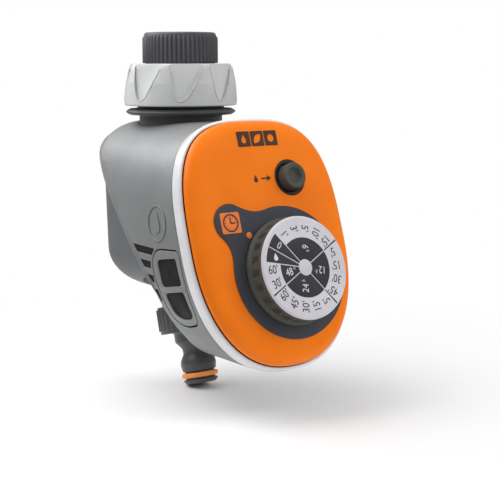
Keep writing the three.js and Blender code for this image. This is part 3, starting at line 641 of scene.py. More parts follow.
def drawer_outline(margin):
    """The drawer's face in (y, z), grown by a margin."""
    m = margin
    return path(
        (-44.5, -57 + m),
        [(-57.2, -56 + m)],
        [(-60.4 - m, -56 + m), (-61.3 - m, -59.6)],
        [(-66.4 - m, -78.5)],
        [(-68.6 - m, -86.4 - m), (-61.6, -87.6 - m)],
        [(-54, -90.2 - m), (-46.5 + m, -90 - m), (-44.2 + m, -83.5)],
        [(-38.4 + m, -69.5)],
        [(-35.6 + m, -58.6 + m), (-44.5, -57 + m)],
    )[:-1]


def slot_outlines():
    """Four slots that step down between the drawer and the sloping edge; the last is a small wedge."""
    height = 3.3
    lean = 3.3  # the rear end follows the sloping underside
    slots = [(-56.9, -19.6, -39.4, -36.9), (-63, -25.6, -35.8, -35.4), (-69.1, -31.2, -37, -37.2)]
    corners = [
        [(rear, top), (front, top), (front_low, top - height), (rear - lean, top - height)]
        for top, rear, front, front_low in slots
    ]
    corners.append([(-35.5, -75.2), (-38.9, -75.2), (-40.8, -80.4), (-39.3, -80.4)])
    return [rounded([(*corner, 0.4) for corner in slot], 4) for slot in corners]


def side_icon():
    """A raised ring with a drop in it, on the housing's side, in (y, z)."""
    y, z = -42.4, -45.6
    ring = prism(arc(y, z, 7.9, 0, 360, 72)[:-1], -60, -30)
    hole = prism(arc(y, z, 7.2, 0, 360, 72)[:-1], -61, -29)
    drop = prism([(y + p[0] * 4.6, z + p[1] * 4.6) for p in drop_outline()], -60, -30)
    return along_x(ring), along_x(hole), along_x(drop)


def drop_outline():
    """A water drop about 2 units high."""
    circle = arc(0, -0.3, 0.62, 150, 390, 24)
    return [Vector((0, 1.05))] + circle


def make_housing():
    shell = to_object("housing_shell", housing_body(0), INLET)
    cut(shell, INLET, below_underside(0))
    bevel_edges(shell, 0.6, 30, 3)
    hollow = to_object("housing_hollow", housing_body(WALL, HOUSING_FRONT + 1), INLET)
    cut(hollow, INLET, below_underside(WALL))
    cut(shell, INLET, hollow)
    bosses = [diagonal_post(3.8, place, -8, -0.4) for place in rear_screw_places()]
    join(shell, INLET, *bosses)
    passage = placed(block(30.4, 37, 38), Matrix.Translation((0, -1, -59)))
    drawer_hole = along_x(prism(drawer_outline(0.75), -60, -30))
    cut(shell, INLET, rod(LOWER_NECK + GAP, -30, 20), back_body(12), passage, drawer_hole)
    slots = [along_x(prism(outline, -60, -35)) for outline in slot_outlines()]
    pilots = [diagonal_post(1.5, place, -6, 2) for place in rear_screw_places()]
    cut(shell, INLET, *slots, *pilots)
    piece(shell, "timer", "silver_plastic", "main_housing")
    # The slots get black plates of painted shade.
    make_slot_shade()
    make_side_marks()


def make_slot_shade():
    """Black plates in the slots, just below the skin: painted shade for the dark inside of the housing that
    shows through them.
    """
    slot_shades = []
    for i, outline in enumerate(slot_outlines()):
        slot_shade = to_object(f"grille_{i}", along_x(prism(outline, -60, -36)), INLET)
        keep(slot_shade, INLET, housing_body(0.6))
        slot_shades.append(slot_shade)
    # Painted shade: these black plates stand in for the dark inside seen through the slots.
    piece(merged("slot_painted_shade", slot_shades), "timer", "black_plastic")


def proud(name, height, shape):
    """The part of a shape that lies within a skin which is raised by a height."""
    mark = to_object(name, housing_body(-height), INLET)
    keep(mark, INLET, shape)
    return mark


def make_side_marks():
    """The sign on the housing's side and the fine line along its lower edge."""
    inside = housing_body(0.1)
    ring, hole, drop = side_icon()
    icon = proud("housing_icon", 0.4, ring)
    cut(icon, INLET, hole)
    icon = merged("housing_icon_raised", [icon, proud("housing_icon_drop", 0.4, drop)])
    cut(icon, INLET, inside)
    piece(icon, "timer", "silver_plastic")
    ridge = proud("housing_ridge", 0.3, ridge_strip())
    cut(ridge, INLET, inside)
    bevel_edges(ridge, 0.15, 50, 2)
    piece(ridge, "timer", "silver_plastic")


def ridge_strip():
    """The narrow strip beside the housing's slanting lower edge where a fine line stands proud."""
    start, end = KNEE_Y + 1, 29
    near, far = 0.8, 1.9
    corners = [(start, near), (end, near), (end, far), (start, far)]
    return along_x(prism([(y, y - SLOPE + above) for y, above in corners], -60, 60))


def make_rear_cover():
    shell = to_object("rear_shell", back_body(0), INLET)
    cut(shell, INLET, back_body(WALL, 5))
    bosses = to_object("rear_bosses", diagonal_post(4.6, rear_screw_places()[0], -3, 40), INLET)
    join(bosses, INLET, *[diagonal_post(4.6, place, -3, 40) for place in rear_screw_places()[1:]])
    keep(bosses, INLET, back_body(0))
    join(shell, INLET, bosses)
    in_front = to_object("in_front", block(400, 400, 400), INLET)
    cut(in_front, INLET, below_underside(-GAP))
    cut(shell, INLET, in_front)
    outlet_hole = placed(rod(SPIGOT_RADIUS + 0.5, SPIGOT_BOTTOM - 6, SPIGOT_TOP + 12), OUTLET_IN_INLET)
    holes = [diagonal_post(1.9, place, -3, 40) for place in rear_screw_places()]
    wells = [diagonal_post(3.6, place, 4.1, 60) for place in rear_screw_places()]
    cut(shell, INLET, outlet_hole, *holes, *wells)
    piece(shell, "timer", "mid_grey_plastic", "rear_cover")


# ---------------------------------------------------------------- inlet


def fin_outline():
    """A facet's outline: a steep left edge, a rounded foot and a long slanting right edge."""
    left = [(-7.3, 14), (-6, 5), (-3.3, 5)]
    right = [(0.6, 5), (3.6, 11.5), (9.4, 24)]
    return path((-7.9, 24), left, right)


def nut_radius(height):
    """The radius of the nut's skin at a height."""
    for (low_radius, low), (high_radius, high) in zip(NUT_SIDE, NUT_SIDE[1:]):
        if height <= high:
            share = (height - low) / (high - low)
            return low_radius + share * (high_radius - low_radius)
    return NUT_SIDE[-1][0]


def facet_bead(turn):
    """A fine raised line along a facet's edge."""
    curve = bpy.data.curves.new("bead", "CURVE")
    curve.dimensions = "3D"
    points = [p for p in fin_outline() if p.y < NUT_TOP - 1.2]
    spline = curve.splines.new("POLY")
    spline.points.add(len(points) - 1)
    for target, p in zip(spline.points, points):
        radius = nut_radius(p.y) - 0.12
        angle = math.asin(p.x / radius)
        target.co = (radius * math.sin(angle), -radius * math.cos(angle), p.y, 1)
    curve.bevel_depth = 0.32
    curve.bevel_resolution = 3
    curve.use_fill_caps = True
    return from_curve("bead", curve, INLET @ turn)


def make_nut():
    side = [(radius, height, 6) for radius, height in NUT_SIDE[1:3]]
    profile = rounded([
        (NECK + 0.4, NUT_BOTTOM), (NUT_SIDE[0][0], NUT_BOTTOM, 0.8), *side,
        (NUT_SIDE[-1][0] - 0.2, NUT_TOP, 1.6), (ADAPTOR_RADIUS - 1.2, NUT_TOP, 0.3),
        (ADAPTOR_RADIUS - 1.2, NUT_BOTTOM + 4.6), (NECK + 0.4, NUT_BOTTOM + 4.6),
        (NECK + 0.4, GROOVE_HIGH + GAP), (NECK + 1.3, GROOVE_HIGH + GAP),
        (NECK + 1.3, GROOVE_LOW - GAP), (NECK + 0.4, GROOVE_LOW - GAP),
    ], 6)
    nut = to_object("nut_body", revolve(profile, 160), INLET)
    floor_depth = 1
    taper = 0.115
    stand = Matrix.Translation((0, floor_depth - NUT_SIDE[0][0], 0)) @ Matrix.Rotation(-taper, 4, "X")
    fin = placed(prism(fin_outline(), 0, 20), stand @ Matrix.Rotation(math.pi / 2, 4, "X"))
    beads = []
    for i in range(NUT_FACETS):
        turn = Matrix.Rotation(i / NUT_FACETS * 2 * math.pi + NUT_START, 4, "Z")
        cut(nut, INLET, placed(fin, turn))
        beads.append(facet_bead(turn))
    bevel_edges(nut, 0.3, 25, 2)
    nut = merged("nut_shell", [nut, *beads])
    piece(nut, "nut", "pale_plastic", "inlet_nut")


def make_adaptor():
    rib_low, rib_high = NUT_TOP + GAP, ADAPTOR_TOP - 2.6
    valley = ADAPTOR_RADIUS - 0.95

    def ribs(angle, radius, height):
        if radius < valley + 0.15 or height > rib_high + 1.3:
            return radius
        wave = 0.5 + 0.5 * math.cos(ADAPTOR_RIBS * angle)
        return valley + (radius - valley) * wave**1.3

    thread = []
    pitch = 1.8
    for i in range(7):
        low = ADAPTOR_TOP - 1.6 - i * pitch
        thread += [(TAP_THREAD, low), (TAP_THREAD + 0.7, low - 0.6), (TAP_THREAD + 0.7, low - 0.9)]
    inner = INLET_BORE - 2
    corners = [
        (inner, ADAPTOR_BOTTOM), (ADAPTOR_RADIUS - 1.6, ADAPTOR_BOTTOM, 0.4),
        (ADAPTOR_RADIUS - 1.6, rib_low - 0.2), (valley, rib_low), (ADAPTOR_RADIUS, rib_low),
        (ADAPTOR_RADIUS, rib_high), (valley + 0.1, rib_high + 1.2),
        (valley + 0.05, ADAPTOR_TOP - 0.7, 0.5),
        (valley - 0.8, ADAPTOR_TOP, 0.5), (TAP_THREAD + 0.6, ADAPTOR_TOP),
        (TAP_THREAD, ADAPTOR_TOP - 0.7),
    ]
    end = [(TAP_THREAD, ADAPTOR_TOP - 16), (inner, ADAPTOR_TOP - 16)]
    profile = rounded(corners + thread + end, 5)
    adaptor = to_object("adaptor_body", revolve(profile, ADAPTOR_RIBS * 8, ribs), INLET)
    piece(adaptor, "adaptor", "dark_plastic", "tap_adaptor", angle=40)


# ---------------------------------------------------------------- valve body


def plate_outline(half, corner=4):
    corners = [(-half, -half, corner), (half, -half, corner), (half, half, corner), (-half, half, corner)]
    return rounded(corners, 6)


def make_valve_body():
    floor = VALVE_Z - BARREL
    outside = rounded([
        (0, floor), (BARREL, floor, 3), (BARREL, -12, 1), (LOWER_NECK, -10, 0.5),
        (LOWER_NECK, -FLANGE_HALF, 0.8),
        (FLANGE - 2, -FLANGE_HALF, 1), (FLANGE, 0, 0.6),
        (FLANGE - 2, FLANGE_HALF, 1), (NECK, FLANGE_HALF, 0.6),
        (NECK, GROOVE_LOW),
        (NECK - 0.9, GROOVE_LOW), (NECK - 0.9, GROOVE_HIGH), (NECK, GROOVE_HIGH),
        (NECK, GROOVE_HIGH + 0.9, 0.3),
        (INLET_BORE + 3, GROOVE_HIGH + 0.9), (INLET_BORE + 3, 6.8), (0, 6.8),
    ], 5, closed=False)
    body = to_object("valve_shell", revolve(outside, 128, closed=False), INLET)
    chamber = placed(rod(VALVE_RADIUS, 2, VALVE_FACE), VALVE_IN_INLET)
    flange = placed(prism(plate_outline(21), VALVE_FACE - 4, VALVE_FACE), VALVE_IN_INLET)
    join(body, INLET, chamber, flange)
    bore = revolve([
        (0, floor + 2.6), (BARREL - 2.6, floor + 2.6), (BARREL - 2.6, -12), (INLET_BORE, -2),
        (INLET_BORE, 10), (0, 10),
    ], 64, closed=False)
    cut(body, INLET, bore, placed(rod(VALVE_BORE, 4, VALVE_FACE + 1), VALVE_IN_INLET))
    seat = placed(rod(VALVE_SEAT, -9, VALVE_FACE - 0.8), VALVE_IN_INLET)
    duct = placed(rod(8, SPIGOT_BOTTOM + 20, 86), OUTLET_IN_INLET)
    spigot = placed(rod(SPIGOT_RADIUS, SPIGOT_BOTTOM + 9.4, SPIGOT_TOP), OUTLET_IN_INLET)
    join(body, INLET, seat, duct, spigot)
    holes = []
    for x in (-BONNET_CORNER, BONNET_CORNER):
        for y in (-BONNET_CORNER, BONNET_CORNER):
            hole = placed(rod(1.2, VALVE_FACE - 8, VALVE_FACE + 1, 24), Matrix.Translation((x, y, 0)))
            holes.append(placed(hole, VALVE_IN_INLET))
    cut(
        body, INLET,
        placed(rod(VALVE_SEAT - 2, -6, VALVE_FACE + 1), VALVE_IN_INLET),
        placed(rod(5.6, SPIGOT_BOTTOM, 83), OUTLET_IN_INLET),
        placed(rod(SPIGOT_RADIUS - 2.4, SPIGOT_BOTTOM, SPIGOT_BOTTOM + 15), OUTLET_IN_INLET),
        neck_groove(),
        *holes,
    )
    piece(body, "timer", "dark_plastic", "valve_body")


def neck_groove():
    """A short upright groove in the neck below the flange, at its left."""
    angle = math.radians(-112)
    place = Matrix.Rotation(angle, 4, "Z") @ Matrix.Translation((LOWER_NECK, 0, -7))
    return placed(block(0.8, 1, 9), place)


# ---------------------------------------------------------------- outlet


def make_outlet():
    rib_low, rib_high = COLLAR_BOTTOM + 1.6, COLLAR_TOP - 1
    valley = COLLAR_RADIUS - 0.7

    def ribs(angle, radius, height):
        if radius < valley + 0.02 or not rib_low - 0.1 < height < rib_high + 0.1:
            return radius
        wave = 0.5 + 0.5 * math.cos(COLLAR_RIBS * angle)
        return valley + (radius - valley) * wave

    socket = SPIGOT_RADIUS + GAP
    corners = [
        (OUTLET_BORE, -4, 0.4), (7, -4, 0.6), (8.15, -2.7, 0.5),
        (8.1, -2.1, 0.3), (7, -1.7, 0.2), (7, 1.7, 0.2),
        (7.9, 2.1, 0.3), (8.5, 5.2, 0.9), (8.1, 7.4, 1.4), (6.5, 10.2, 2.5), (6.6, 13, 3), (9.5, 16.4, 1.8),
        (9.5, COLLAR_BOTTOM, 1.2), (COLLAR_RADIUS - 0.6, COLLAR_BOTTOM, 1.6), (valley, rib_low - 0.1),
        (COLLAR_RADIUS, rib_low + 0.2), (COLLAR_RADIUS, rib_high - 0.3), (valley, rib_high + 0.1),
        (COLLAR_RADIUS - 0.8, COLLAR_TOP, 0.7), (socket + 0.6, COLLAR_TOP), (socket, COLLAR_TOP - 0.6),
        (socket, SPIGOT_BOTTOM + 1.6), (OUTLET_BORE, SPIGOT_BOTTOM + 1.6),
    ]
    connector = to_object("connector_body", revolve(rounded(corners, 6), COLLAR_RIBS * 8, ribs), OUTLET)
    piece(connector, "connector", "mid_grey_plastic", "outlet_connector", material="dark_plastic", angle=40)
    turns = [2 * math.pi * k / 24 for k in range(24)]
    section = [(7.8 + 0.8 * math.cos(a), 1.15 * math.sin(a)) for a in turns]
    ring = to_object("connector_o_ring", revolve(section, 128), OUTLET)
    piece(ring, "connector", "seal_orange", "outlet_o_ring")


# ---------------------------------------------------------------- front panel


def make_cover():
    steps = 26
    start, foot, width = RING_LIP + GAP, 1.1, 11
    outside = []
    for k in range(steps + 1):
        part = (k / steps) ** 2
        rise = math.sqrt(1 - (1 - part) ** 3)
        outside.append((start + (width - start) * part, foot + (CROWN - foot) * rise))
    inside = [(20, CROWN - WALL), (6.5, CROWN - WALL), (WALL + 1.2, 1.2), (WALL + 1.2, GAP)]
    edge = [(start + 0.2, GAP), (start, 0.5)]
    profile = inside + edge + outside + [(20, CROWN)]
    cover = to_object("cover_shell", loft([panel_ring(inset, height) for inset, height in profile]), PANEL)
    shaft = placed(rod(4.6, 0, 20), Matrix.Translation((DIAL_X, DIAL_V, 0)))
    well = placed(rod(BUTTON_WELL, 0, 20), Matrix.Translation((BUTTON_X, BUTTON_V, 0)))
    cut(cover, PANEL, shaft, well)
    piece(cover, "timer", "orange_plastic", "front_cover")


def make_trim_ring():
    corners = [
        (RING_INSET, RING_LEDGE), (RING_INSET, RING_BACK), (0, RING_BACK, 0.4), (-0.35, RING_BACK + 0.8, 1),
        (-0.35, RING_FRONT - 0.8, 0.7), (0.3, RING_FRONT, 0.4),
        (RING_LIP, RING_FRONT, 0.15), (RING_LIP, RING_LEDGE),
    ]
    rings = [panel_ring(inset, height) for inset, height in rounded(corners, 6)]
    ring = to_object("trim_band", loft(rings, closed=True), PANEL)
    piece(ring, "timer", "white_plastic", "trim_ring")
    low, high, rim = RING_LEDGE + 0.1, -0.15, RING_LIP + 0.05
    seal_corners = [(4, low), (rim, low), (rim, high), (4, high)]
    seal = to_object("seal_band", loft([panel_ring(*corner) for corner in seal_corners], closed=True), PANEL)
    piece(seal, "timer", "black_rubber", "front_seal")


def pad_outline():
    """A round pad with a lobe at its upper left, joined to it by sweeping curves."""
    lobe = (-21.8, 9.2, 8.2)
    pad = (DIAL_X, DIAL_V, PAD_RADIUS)

    def beside(circle, degrees, ahead=0.0):
        x, v, radius = circle
        c, s = math.cos(math.radians(degrees)), math.sin(math.radians(degrees))
        return (x + radius * c + ahead * s, v + radius * s - ahead * c)

    upper = bezier(beside(lobe, 62), beside(lobe, 62, 4), beside(pad, 105, -6), beside(pad, 105), 20)
    lower = bezier(beside(pad, -190), beside(pad, -190, 7), beside(lobe, 225, -4), beside(lobe, 225), 20)
    return upper + arc(*pad, 105, -190, 90) + lower + arc(*lobe, 225, 62, 40)


def make_pad():
    low = CROWN - 0.1
    hole = arc(DIAL_X, DIAL_V, 4.6, 0, 360, 48)[:-1]
    pad = plate("pad_plate", [pad_outline(), hole], low, CROWN + 0.6, 0.15, PANEL)
    piece(pad, "timer", "pad_plastic", "dial_overlay")
    make_clock(CROWN + 0.6)


def square_outline(x, v, width, height, radius):
    w, h = width / 2, height / 2
    corners = [(x - w, v - h, radius), (x + w, v - h, radius), (x + w, v + h, radius), (x - w, v + h, radius)]
    return rounded(corners, 6)


def make_clock(level):
    """The orange clock icon on the pad's lobe, and the dot that the dial is read against."""
    x, v = -22.1, 9.1
    tile = plate("clock_tile", [square_outline(x, v, 9.8, 9, 0.9)], level, level + 0.1, 0.03, PANEL)
    dot = plate("clock_dot", [arc(-13.9, 3.15, 1.4, 0, 360, 40)[:-1]], level, level + 0.1, 0.03, PANEL)
    tile = merged("clock_marks", [tile, dot])
    piece(tile, "timer", "orange_plastic", material="print_orange")
    rim = [arc(x, v, 3.9, 0, 360, 60)[:-1], arc(x, v, 3.25, 0, 360, 60)[:-1]]
    parts = [plate("clock_rim", rim, level + 0.1, level + 0.16, 0.01, PANEL)]
    hands = [square_outline(x, v + 1, 0.6, 2.7, 0.1), square_outline(x + 0.95, v - 0.1, 2.3, 0.6, 0.1)]
    for i, hand in enumerate(hands):
        parts.append(plate(f"clock_hand_{i}", [hand], level + 0.1, level + 0.16, 0.01, PANEL))
    for i in range(12):
        turn = PANEL @ Matrix.Translation((x, v, 0)) @ Matrix.Rotation(i * math.pi / 6, 4, "Z")
        tick = square_outline(0, 2.85, 0.28, 0.5, 0.05)
        parts.append(plate(f"clock_tick_{i}", [tick], level + 0.1, level + 0.16, 0.01, turn))
    piece(merged("clock_face", parts), "timer", "pad_plastic", material="print_dark")


def make_badge():
    """Three dark tiles near the top with generic garden signs cut out of them."""
    level = CROWN + 0.01
    size = 6.7
    v = 44.9
    drop = [(-6.85 + 2.1 * p[0], v + 2.1 * p[1]) for p in drop_outline()]
    leaf = leaf_outline(0.4, v, 2.4)
    sun = arc(7.65, v, 1.7, 0, 360, 30)[:-1]
    parts = []
    for i, (x, sign) in enumerate([(-6.85, drop), (0.4, leaf), (7.65, sun)]):
        outline = square_outline(x, v, size, size, 0.5)
        parts.append(plate(f"badge_{i}", [outline, sign], level, level + 0.14, 0.03, PANEL))
    piece(merged("badge_tiles", parts), "timer", "pad_plastic", material="print_brown")


def leaf_outline(x, v, half):
    upper = bezier((-half, -half), (-half, half * 0.6), (half * -0.2, half), (half, half), 14)
    lower = bezier((half, half), (half, half * -0.5), (half * 0.3, -half), (-half, -half), 14)
    points = [Vector((-half, -half)), *upper, Vector((half, half)), *lower]
    return [Vector((x, v)) + p * 0.85 for p in points]


def make_button_label():
    """A drop and an arrow that point at the push button."""
    level = CROWN + 0.01
    v = BUTTON_V + 0.4
    drop = [(-4.4 + 1.7 * p[0], v + 1.7 * p[1]) for p in drop_outline()]
    arrow = [
        (-1.6, v + 0.3), (1.6, v + 0.3), (1.6, v + 1.3), (4, v),
        (1.6, v - 1.3), (1.6, v - 0.3), (-1.6, v - 0.3),
    ]
    parts = [plate("label_drop", [drop], level, level + 0.1, 0.02, PANEL)]
    parts.append(plate("label_arrow", [arrow], level, level + 0.1, 0.02, PANEL))
    piece(merged("button_label", parts), "timer", "pad_plastic", material="print_brown")


def make_button():
    well = BUTTON_WELL - GAP
    bezel = rounded([(6.2, 1.3), (well, 1.3), (well, 5.2, 0.4), (6.7, 4.4, 0.3), (6.2, 3.4)], 5)
    surround = to_object("button_surround", revolve(bezel, 96), BUTTON)
    piece(surround, "timer", "pad_plastic", "button_bezel")
    cap = rounded([
        (0, 0), (7, 0), (7, 0.9), (BUTTON_RADIUS, 0.9, 0.4), (BUTTON_RADIUS, BUTTON_TOP, 1.5),
        (BUTTON_RADIUS - 2, BUTTON_TOP - 0.4, 0.9), (BUTTON_RADIUS - 3.2, BUTTON_TOP - 2, 1.4),
        (0, BUTTON_TOP - 2.5),
    ], 8, closed=False)
    cap = to_object("button_cap", revolve(cap, 96, closed=False), BUTTON)
    piece(cap, "button", "knob_plastic", "manual_button")


# ---------------------------------------------------------------- dial

DISC_TOP = KNOB_TOP + 0.78
PRINT = 0.05
# Minutes on the outer ring for each stretch of the dial, and the hours between waterings.
DIAL_GROUPS = [("6", ["1", "3", "5", "10", "15"]), ("12", ["5", "15", "30", "45"]),
               ("24", ["5", "15", "30", "45", "60"]), ("48", ["30", "60"])]
DIAL_START, DIAL_STEP = 322, 20
PRINT_RADIUS, BAND_RADIUS, HUB_RADIUS = 20, 12.9, 3.5


def make_knob():
    flute_low, flute_high = KNOB_BASE + 3, KNOB_TOP - 1.6
    run_out = 0.7

    def flutes(angle, radius, height):
        if radius < KNOB_RADIUS - 1 or not flute_low < height < flute_high:
            return radius
        turn = angle * KNOB_FLUTES / (2 * math.pi)
        off_centre = abs(turn - round(turn)) * 2 * math.pi * KNOB_RADIUS / KNOB_FLUTES
        across = max(0, 1 - (off_centre / FLUTE_HALF_WIDTH) ** 2)
        along = min(1, (height - flute_low) / run_out, (flute_high - height) / run_out)
        return radius - FLUTE_DEPTH * across * math.sqrt(max(0, 1 - (1 - along) ** 2))

    floor = KNOB_TOP - 0.4
    recess = DISC_RADIUS - 3
    side = [(KNOB_RADIUS, flute_low + (flute_high - flute_low) * k / 24) for k in range(25)]
    corners = [
        (3.3, KNOB_BASE), (6.2, KNOB_BASE), (6.2, KNOB_TOP - 3), (KNOB_BASE_RADIUS - 2, KNOB_TOP - 3),
        (KNOB_BASE_RADIUS - 2, KNOB_BASE), (KNOB_BASE_RADIUS, KNOB_BASE, 0.3),
        (KNOB_BASE_RADIUS, KNOB_BASE + 1.4, 0.8),
        (KNOB_RADIUS, KNOB_BASE + 2.4, 0.3), *side, (KNOB_RADIUS, KNOB_TOP, 0.4), (recess, KNOB_TOP),
        (recess, floor), (3.3, floor), (3.3, KNOB_BASE + 5),
    ]
    knob = to_object("knob_body", revolve(rounded(corners, 4)[:-2], KNOB_FLUTES * 16, flutes), DIAL)
    piece(knob, "dial", "knob_plastic", "dial_knob", angle=40)


def polar(radius, clock_degrees):
    """A point of the dial, at an angle clockwise from the top."""
    angle = math.radians(clock_degrees)
    return Vector((radius * math.sin(angle), radius * math.cos(angle)))


def sector(inner, outer, start, end, margin=0.22):
    """A ring sector with straight margins along its two sides."""
    steps = max(2, round((end - start) / 4))
    outline = []
    for radius, first, last in ((outer, start, end), (inner, end, start)):
        trim = math.degrees(margin / radius)
        low = first + (trim if first < last else -trim)
        high = last - (trim if first < last else -trim)
        outline += [polar(radius, low + (high - low) * k / steps) for k in range(steps + 1)]
    return outline


def radial_text(name, text, radius, clock_degrees, size, level):
    """Text that runs from the rim towards the middle of the dial."""
    curve = bpy.data.curves.new(name, "FONT")
    curve.body = text
    curve.size = size
    curve.align_x = "CENTER"
    curve.align_y = "CENTER"
    curve.extrude = PRINT / 2
    curve.resolution_u = 6
    inward = -polar(1, clock_degrees)
    place = polar(radius, clock_degrees)
    turn = Matrix.Rotation(math.atan2(inward.y, inward.x), 4, "Z")
    narrow = Matrix.Diagonal((0.82, 1, 1, 1))
    stand = Matrix.Translation((place.x, place.y, level + PRINT / 2))
    return from_curve(name, curve, DIAL @ stand @ turn @ narrow)


def printed(name, outline, level):
    """A flat mark printed on the dial's face."""
    return plate(name, [outline], level, level + PRINT, 0.005, DIAL)


def make_scale():
    plug = DISC_RADIUS - 3 - GAP
    skin = rounded([
        (0, KNOB_TOP - 0.1), (plug, KNOB_TOP - 0.1), (plug, KNOB_TOP + 0.05),
        (DISC_RADIUS + 0.5, KNOB_TOP + 0.05, 0.05),
        (DISC_RADIUS + 0.45, KNOB_TOP + 0.25, 0.1), (DISC_RADIUS - 0.35, DISC_TOP, 0.15), (0, DISC_TOP),
    ], 4, closed=False)
    disc = to_object("scale_face", revolve(skin, 192, closed=False), DIAL)
    piece(disc, "dial", "scale_plastic", "dial_scale_disc")
    hub = plate("scale_hub", [arc(0, 0, HUB_RADIUS, 0, 360, 60)[:-1]], DISC_TOP, DISC_TOP + 0.12, 0.05, DIAL)
    piece(hub, "dial", "scale_plastic")
    dark, pale = [], []
    start = DIAL_START
    level = DISC_TOP + 0.005
    over = level + PRINT
    for i, (hours, minutes) in enumerate(DIAL_GROUPS):
        end = start + DIAL_STEP * len(minutes)
        dark.append(printed(f"band_{i}", sector(HUB_RADIUS, BAND_RADIUS, start, end), level))
        pale.append(radial_text(f"hours_{i}", hours, 8.9, (start + end) / 2, 4.6, over))
        mark_radius = 8.9 - 1.5 * len(hours)
        pale.append(radial_text(f"hour_mark_{i}", "h", mark_radius, (start + end) / 2 + 11, 2.5, over))
        for k, number in enumerate(minutes):
            middle = start + DIAL_STEP * (k + 0.5)
            dark.append(radial_text(f"minutes_{i}_{k}", number + "'", 16.9, middle, 5.2, level))
        line = sector(BAND_RADIUS + 0.5, DISC_RADIUS - 0.4, end - 0.9, end + 0.9, 0.0)
        if i < len(DIAL_GROUPS) - 1:
            dark.append(printed(f"line_{i}", line, level))
        start = end
    for i in range(2):
        dark.append(printed(f"wedge_{i}", sector(HUB_RADIUS, PRINT_RADIUS, start, start + DIAL_STEP), level))
        start += DIAL_STEP
    pale.append(radial_text("zero", "0", 15.5, start - 10, 4.6, over))
    centre = polar(15.5, start - 30)
    drop = [(centre.x + 1.7 * p[0], centre.y + 1.7 * p[1]) for p in drop_outline()]
    pale.append(printed("drop", drop, over))
    piece(merged("scale_print_dark", dark), "dial", "pad_plastic", material="print_dark")
    piece(merged("scale_print_pale", pale), "dial", "scale_plastic", material="print_pale")


# ---------------------------------------------------------------- battery drawer


def battery_space(margin, left, right):
    turn = Matrix.Rotation(BATTERY_ANGLE, 4, "X")
    place = Matrix.Translation(((left + right) / 2, DRAWER_Y, DRAWER_Z))
    size = block(right - left, BATTERY_WIDTH + 2 * margin, BATTERY_DEPTH + 2 * margin)
    return placed(size, place @ turn)


def pocket_outline(upper, margin=0.0):
    """The drawer's finger recesses in (y, z), made smaller by a margin."""
    m = margin
    if upper:
        return path(
            (-44, -61.1 - m),
            [(-56.2, -59.1 - m)],
            [(-57.6 + m, -58.9 - m), (-58.2 + m, -60.4)],
            [(-60.7 + m, -68.4)],
            [(-61.1 + m, -70.1 + m), (-59.4, -70.5 + m)],
            [(-46, -73 + m)],
            [(-44.2 - m, -73.3 + m), (-43.7 - m, -71.4)],
            [(-41.8 - m, -63.6)],
            [(-41.4 - m, -61.5 - m), (-44, -61.1 - m)],
        )[:-1]
    return path(
        (-46.6, -75.6 - m),
        [(-60, -73 - m)],
        [(-61.6 + m, -72.7 - m), (-62.2 + m, -74.4)],
        [(-64.4 + m, -81)],
        [(-65 + m, -83.6), (-61.6, -84.7 + m)],
        [(-56, -86.6 + m), (-49.4 - m, -87 + m), (-47.6 - m, -83)],
        [(-45.4 - m, -77.8)],
        [(-44.8 - m, -75.9 - m), (-46.6, -75.6 - m)],
    )[:-1]


def skin_band(name, outline, near, far):
    """A plate of the given outline in the housing's side, between two depths below its skin."""
    band = to_object(name, along_x(prism(outline, -50, -30)), INLET)
    keep(band, INLET, housing_body(near))
    cut(band, INLET, housing_body(far))
    return band


def make_drawer():
    drawer = to_object("drawer_front", along_x(prism(drawer_outline(0), -50, DRAWER_INNER_X)), INLET)
    keep(drawer, INLET, housing_body(0))
    tray_space = battery_space(1.3, DRAWER_INNER_X - 1, DRAWER_INNER_X + DRAWER_LENGTH)
    tray = to_object("drawer_tray", tray_space, INLET)
    keep(tray, INLET, along_x(prism(drawer_outline(-0.4), -60, 60)))
    open_side = block(DRAWER_LENGTH + 4, 40, 40)
    middle = Matrix.Translation((DRAWER_INNER_X + DRAWER_LENGTH / 2 + 2.01, 0, 0))
    lift = Matrix.Translation((0, 34 - BATTERY_WIDTH / 2, BATTERY_DEPTH / 2 - 14))
    stand = Matrix.Translation((0, DRAWER_Y, DRAWER_Z)) @ Matrix.Rotation(BATTERY_ANGLE, 4, "X")
    cut(tray, INLET, placed(open_side, middle @ stand @ lift))
    join(drawer, INLET, tray)
    trough = battery_space(GAP, DRAWER_INNER_X, DRAWER_INNER_X + BATTERY_LENGTH)
    cut(drawer, INLET, trough)
    for upper in (True, False):
        pocket = to_object("pocket", along_x(prism(pocket_outline(upper), -50, -30)), INLET)
        cut(pocket, INLET, housing_body(POCKET_DEPTH))
        cut(drawer, INLET, pocket)
    bevel_edges(drawer, 0.35, 50, 2)
    piece(drawer, "drawer", "silver_plastic", "battery_drawer")
    for name, upper in (("grip_upper", True), ("grip_lower", False)):
        grip = skin_band(name, pocket_outline(upper, 0.05), PAD_DEPTH, POCKET_DEPTH + 0.1)
        piece(grip, "drawer", "black_rubber", f"drawer_{name}")
    seal = skin_band("drawer_seal", drawer_outline(0.6), 1.1, 1.9)
    cut(seal, INLET, along_x(prism(drawer_outline(-0.8), -60, -20)))
    piece(seal, "drawer", "black_rubber")


# ---------------------------------------------------------------- springs

# Each spring's wire centre line starts at low and is height long.
SPRINGS = {
    "diaphragm_spring": dict(
        radius=5.6, wire=0.4, low=VALVE_FACE + 4.2, height=3.6, turns=3, fixed_end=1,
        place=INLET @ VALVE_IN_INLET, joint="plunger_lift", share=0.68,
    ),
    "plunger_spring": dict(
        radius=2.2, wire=0.35, low=VALVE_FACE + 24.7, height=2.4, turns=3, fixed_end=1,
        place=INLET @ VALVE_IN_INLET, joint="plunger_lift", share=0.4,
    ),
    "button_spring": dict(
        radius=5.2, wire=0.35, low=-3.6, height=2.8, turns=2, fixed_end=0,
        place=BUTTON, joint="button_press", share=0.48,
    ),
}


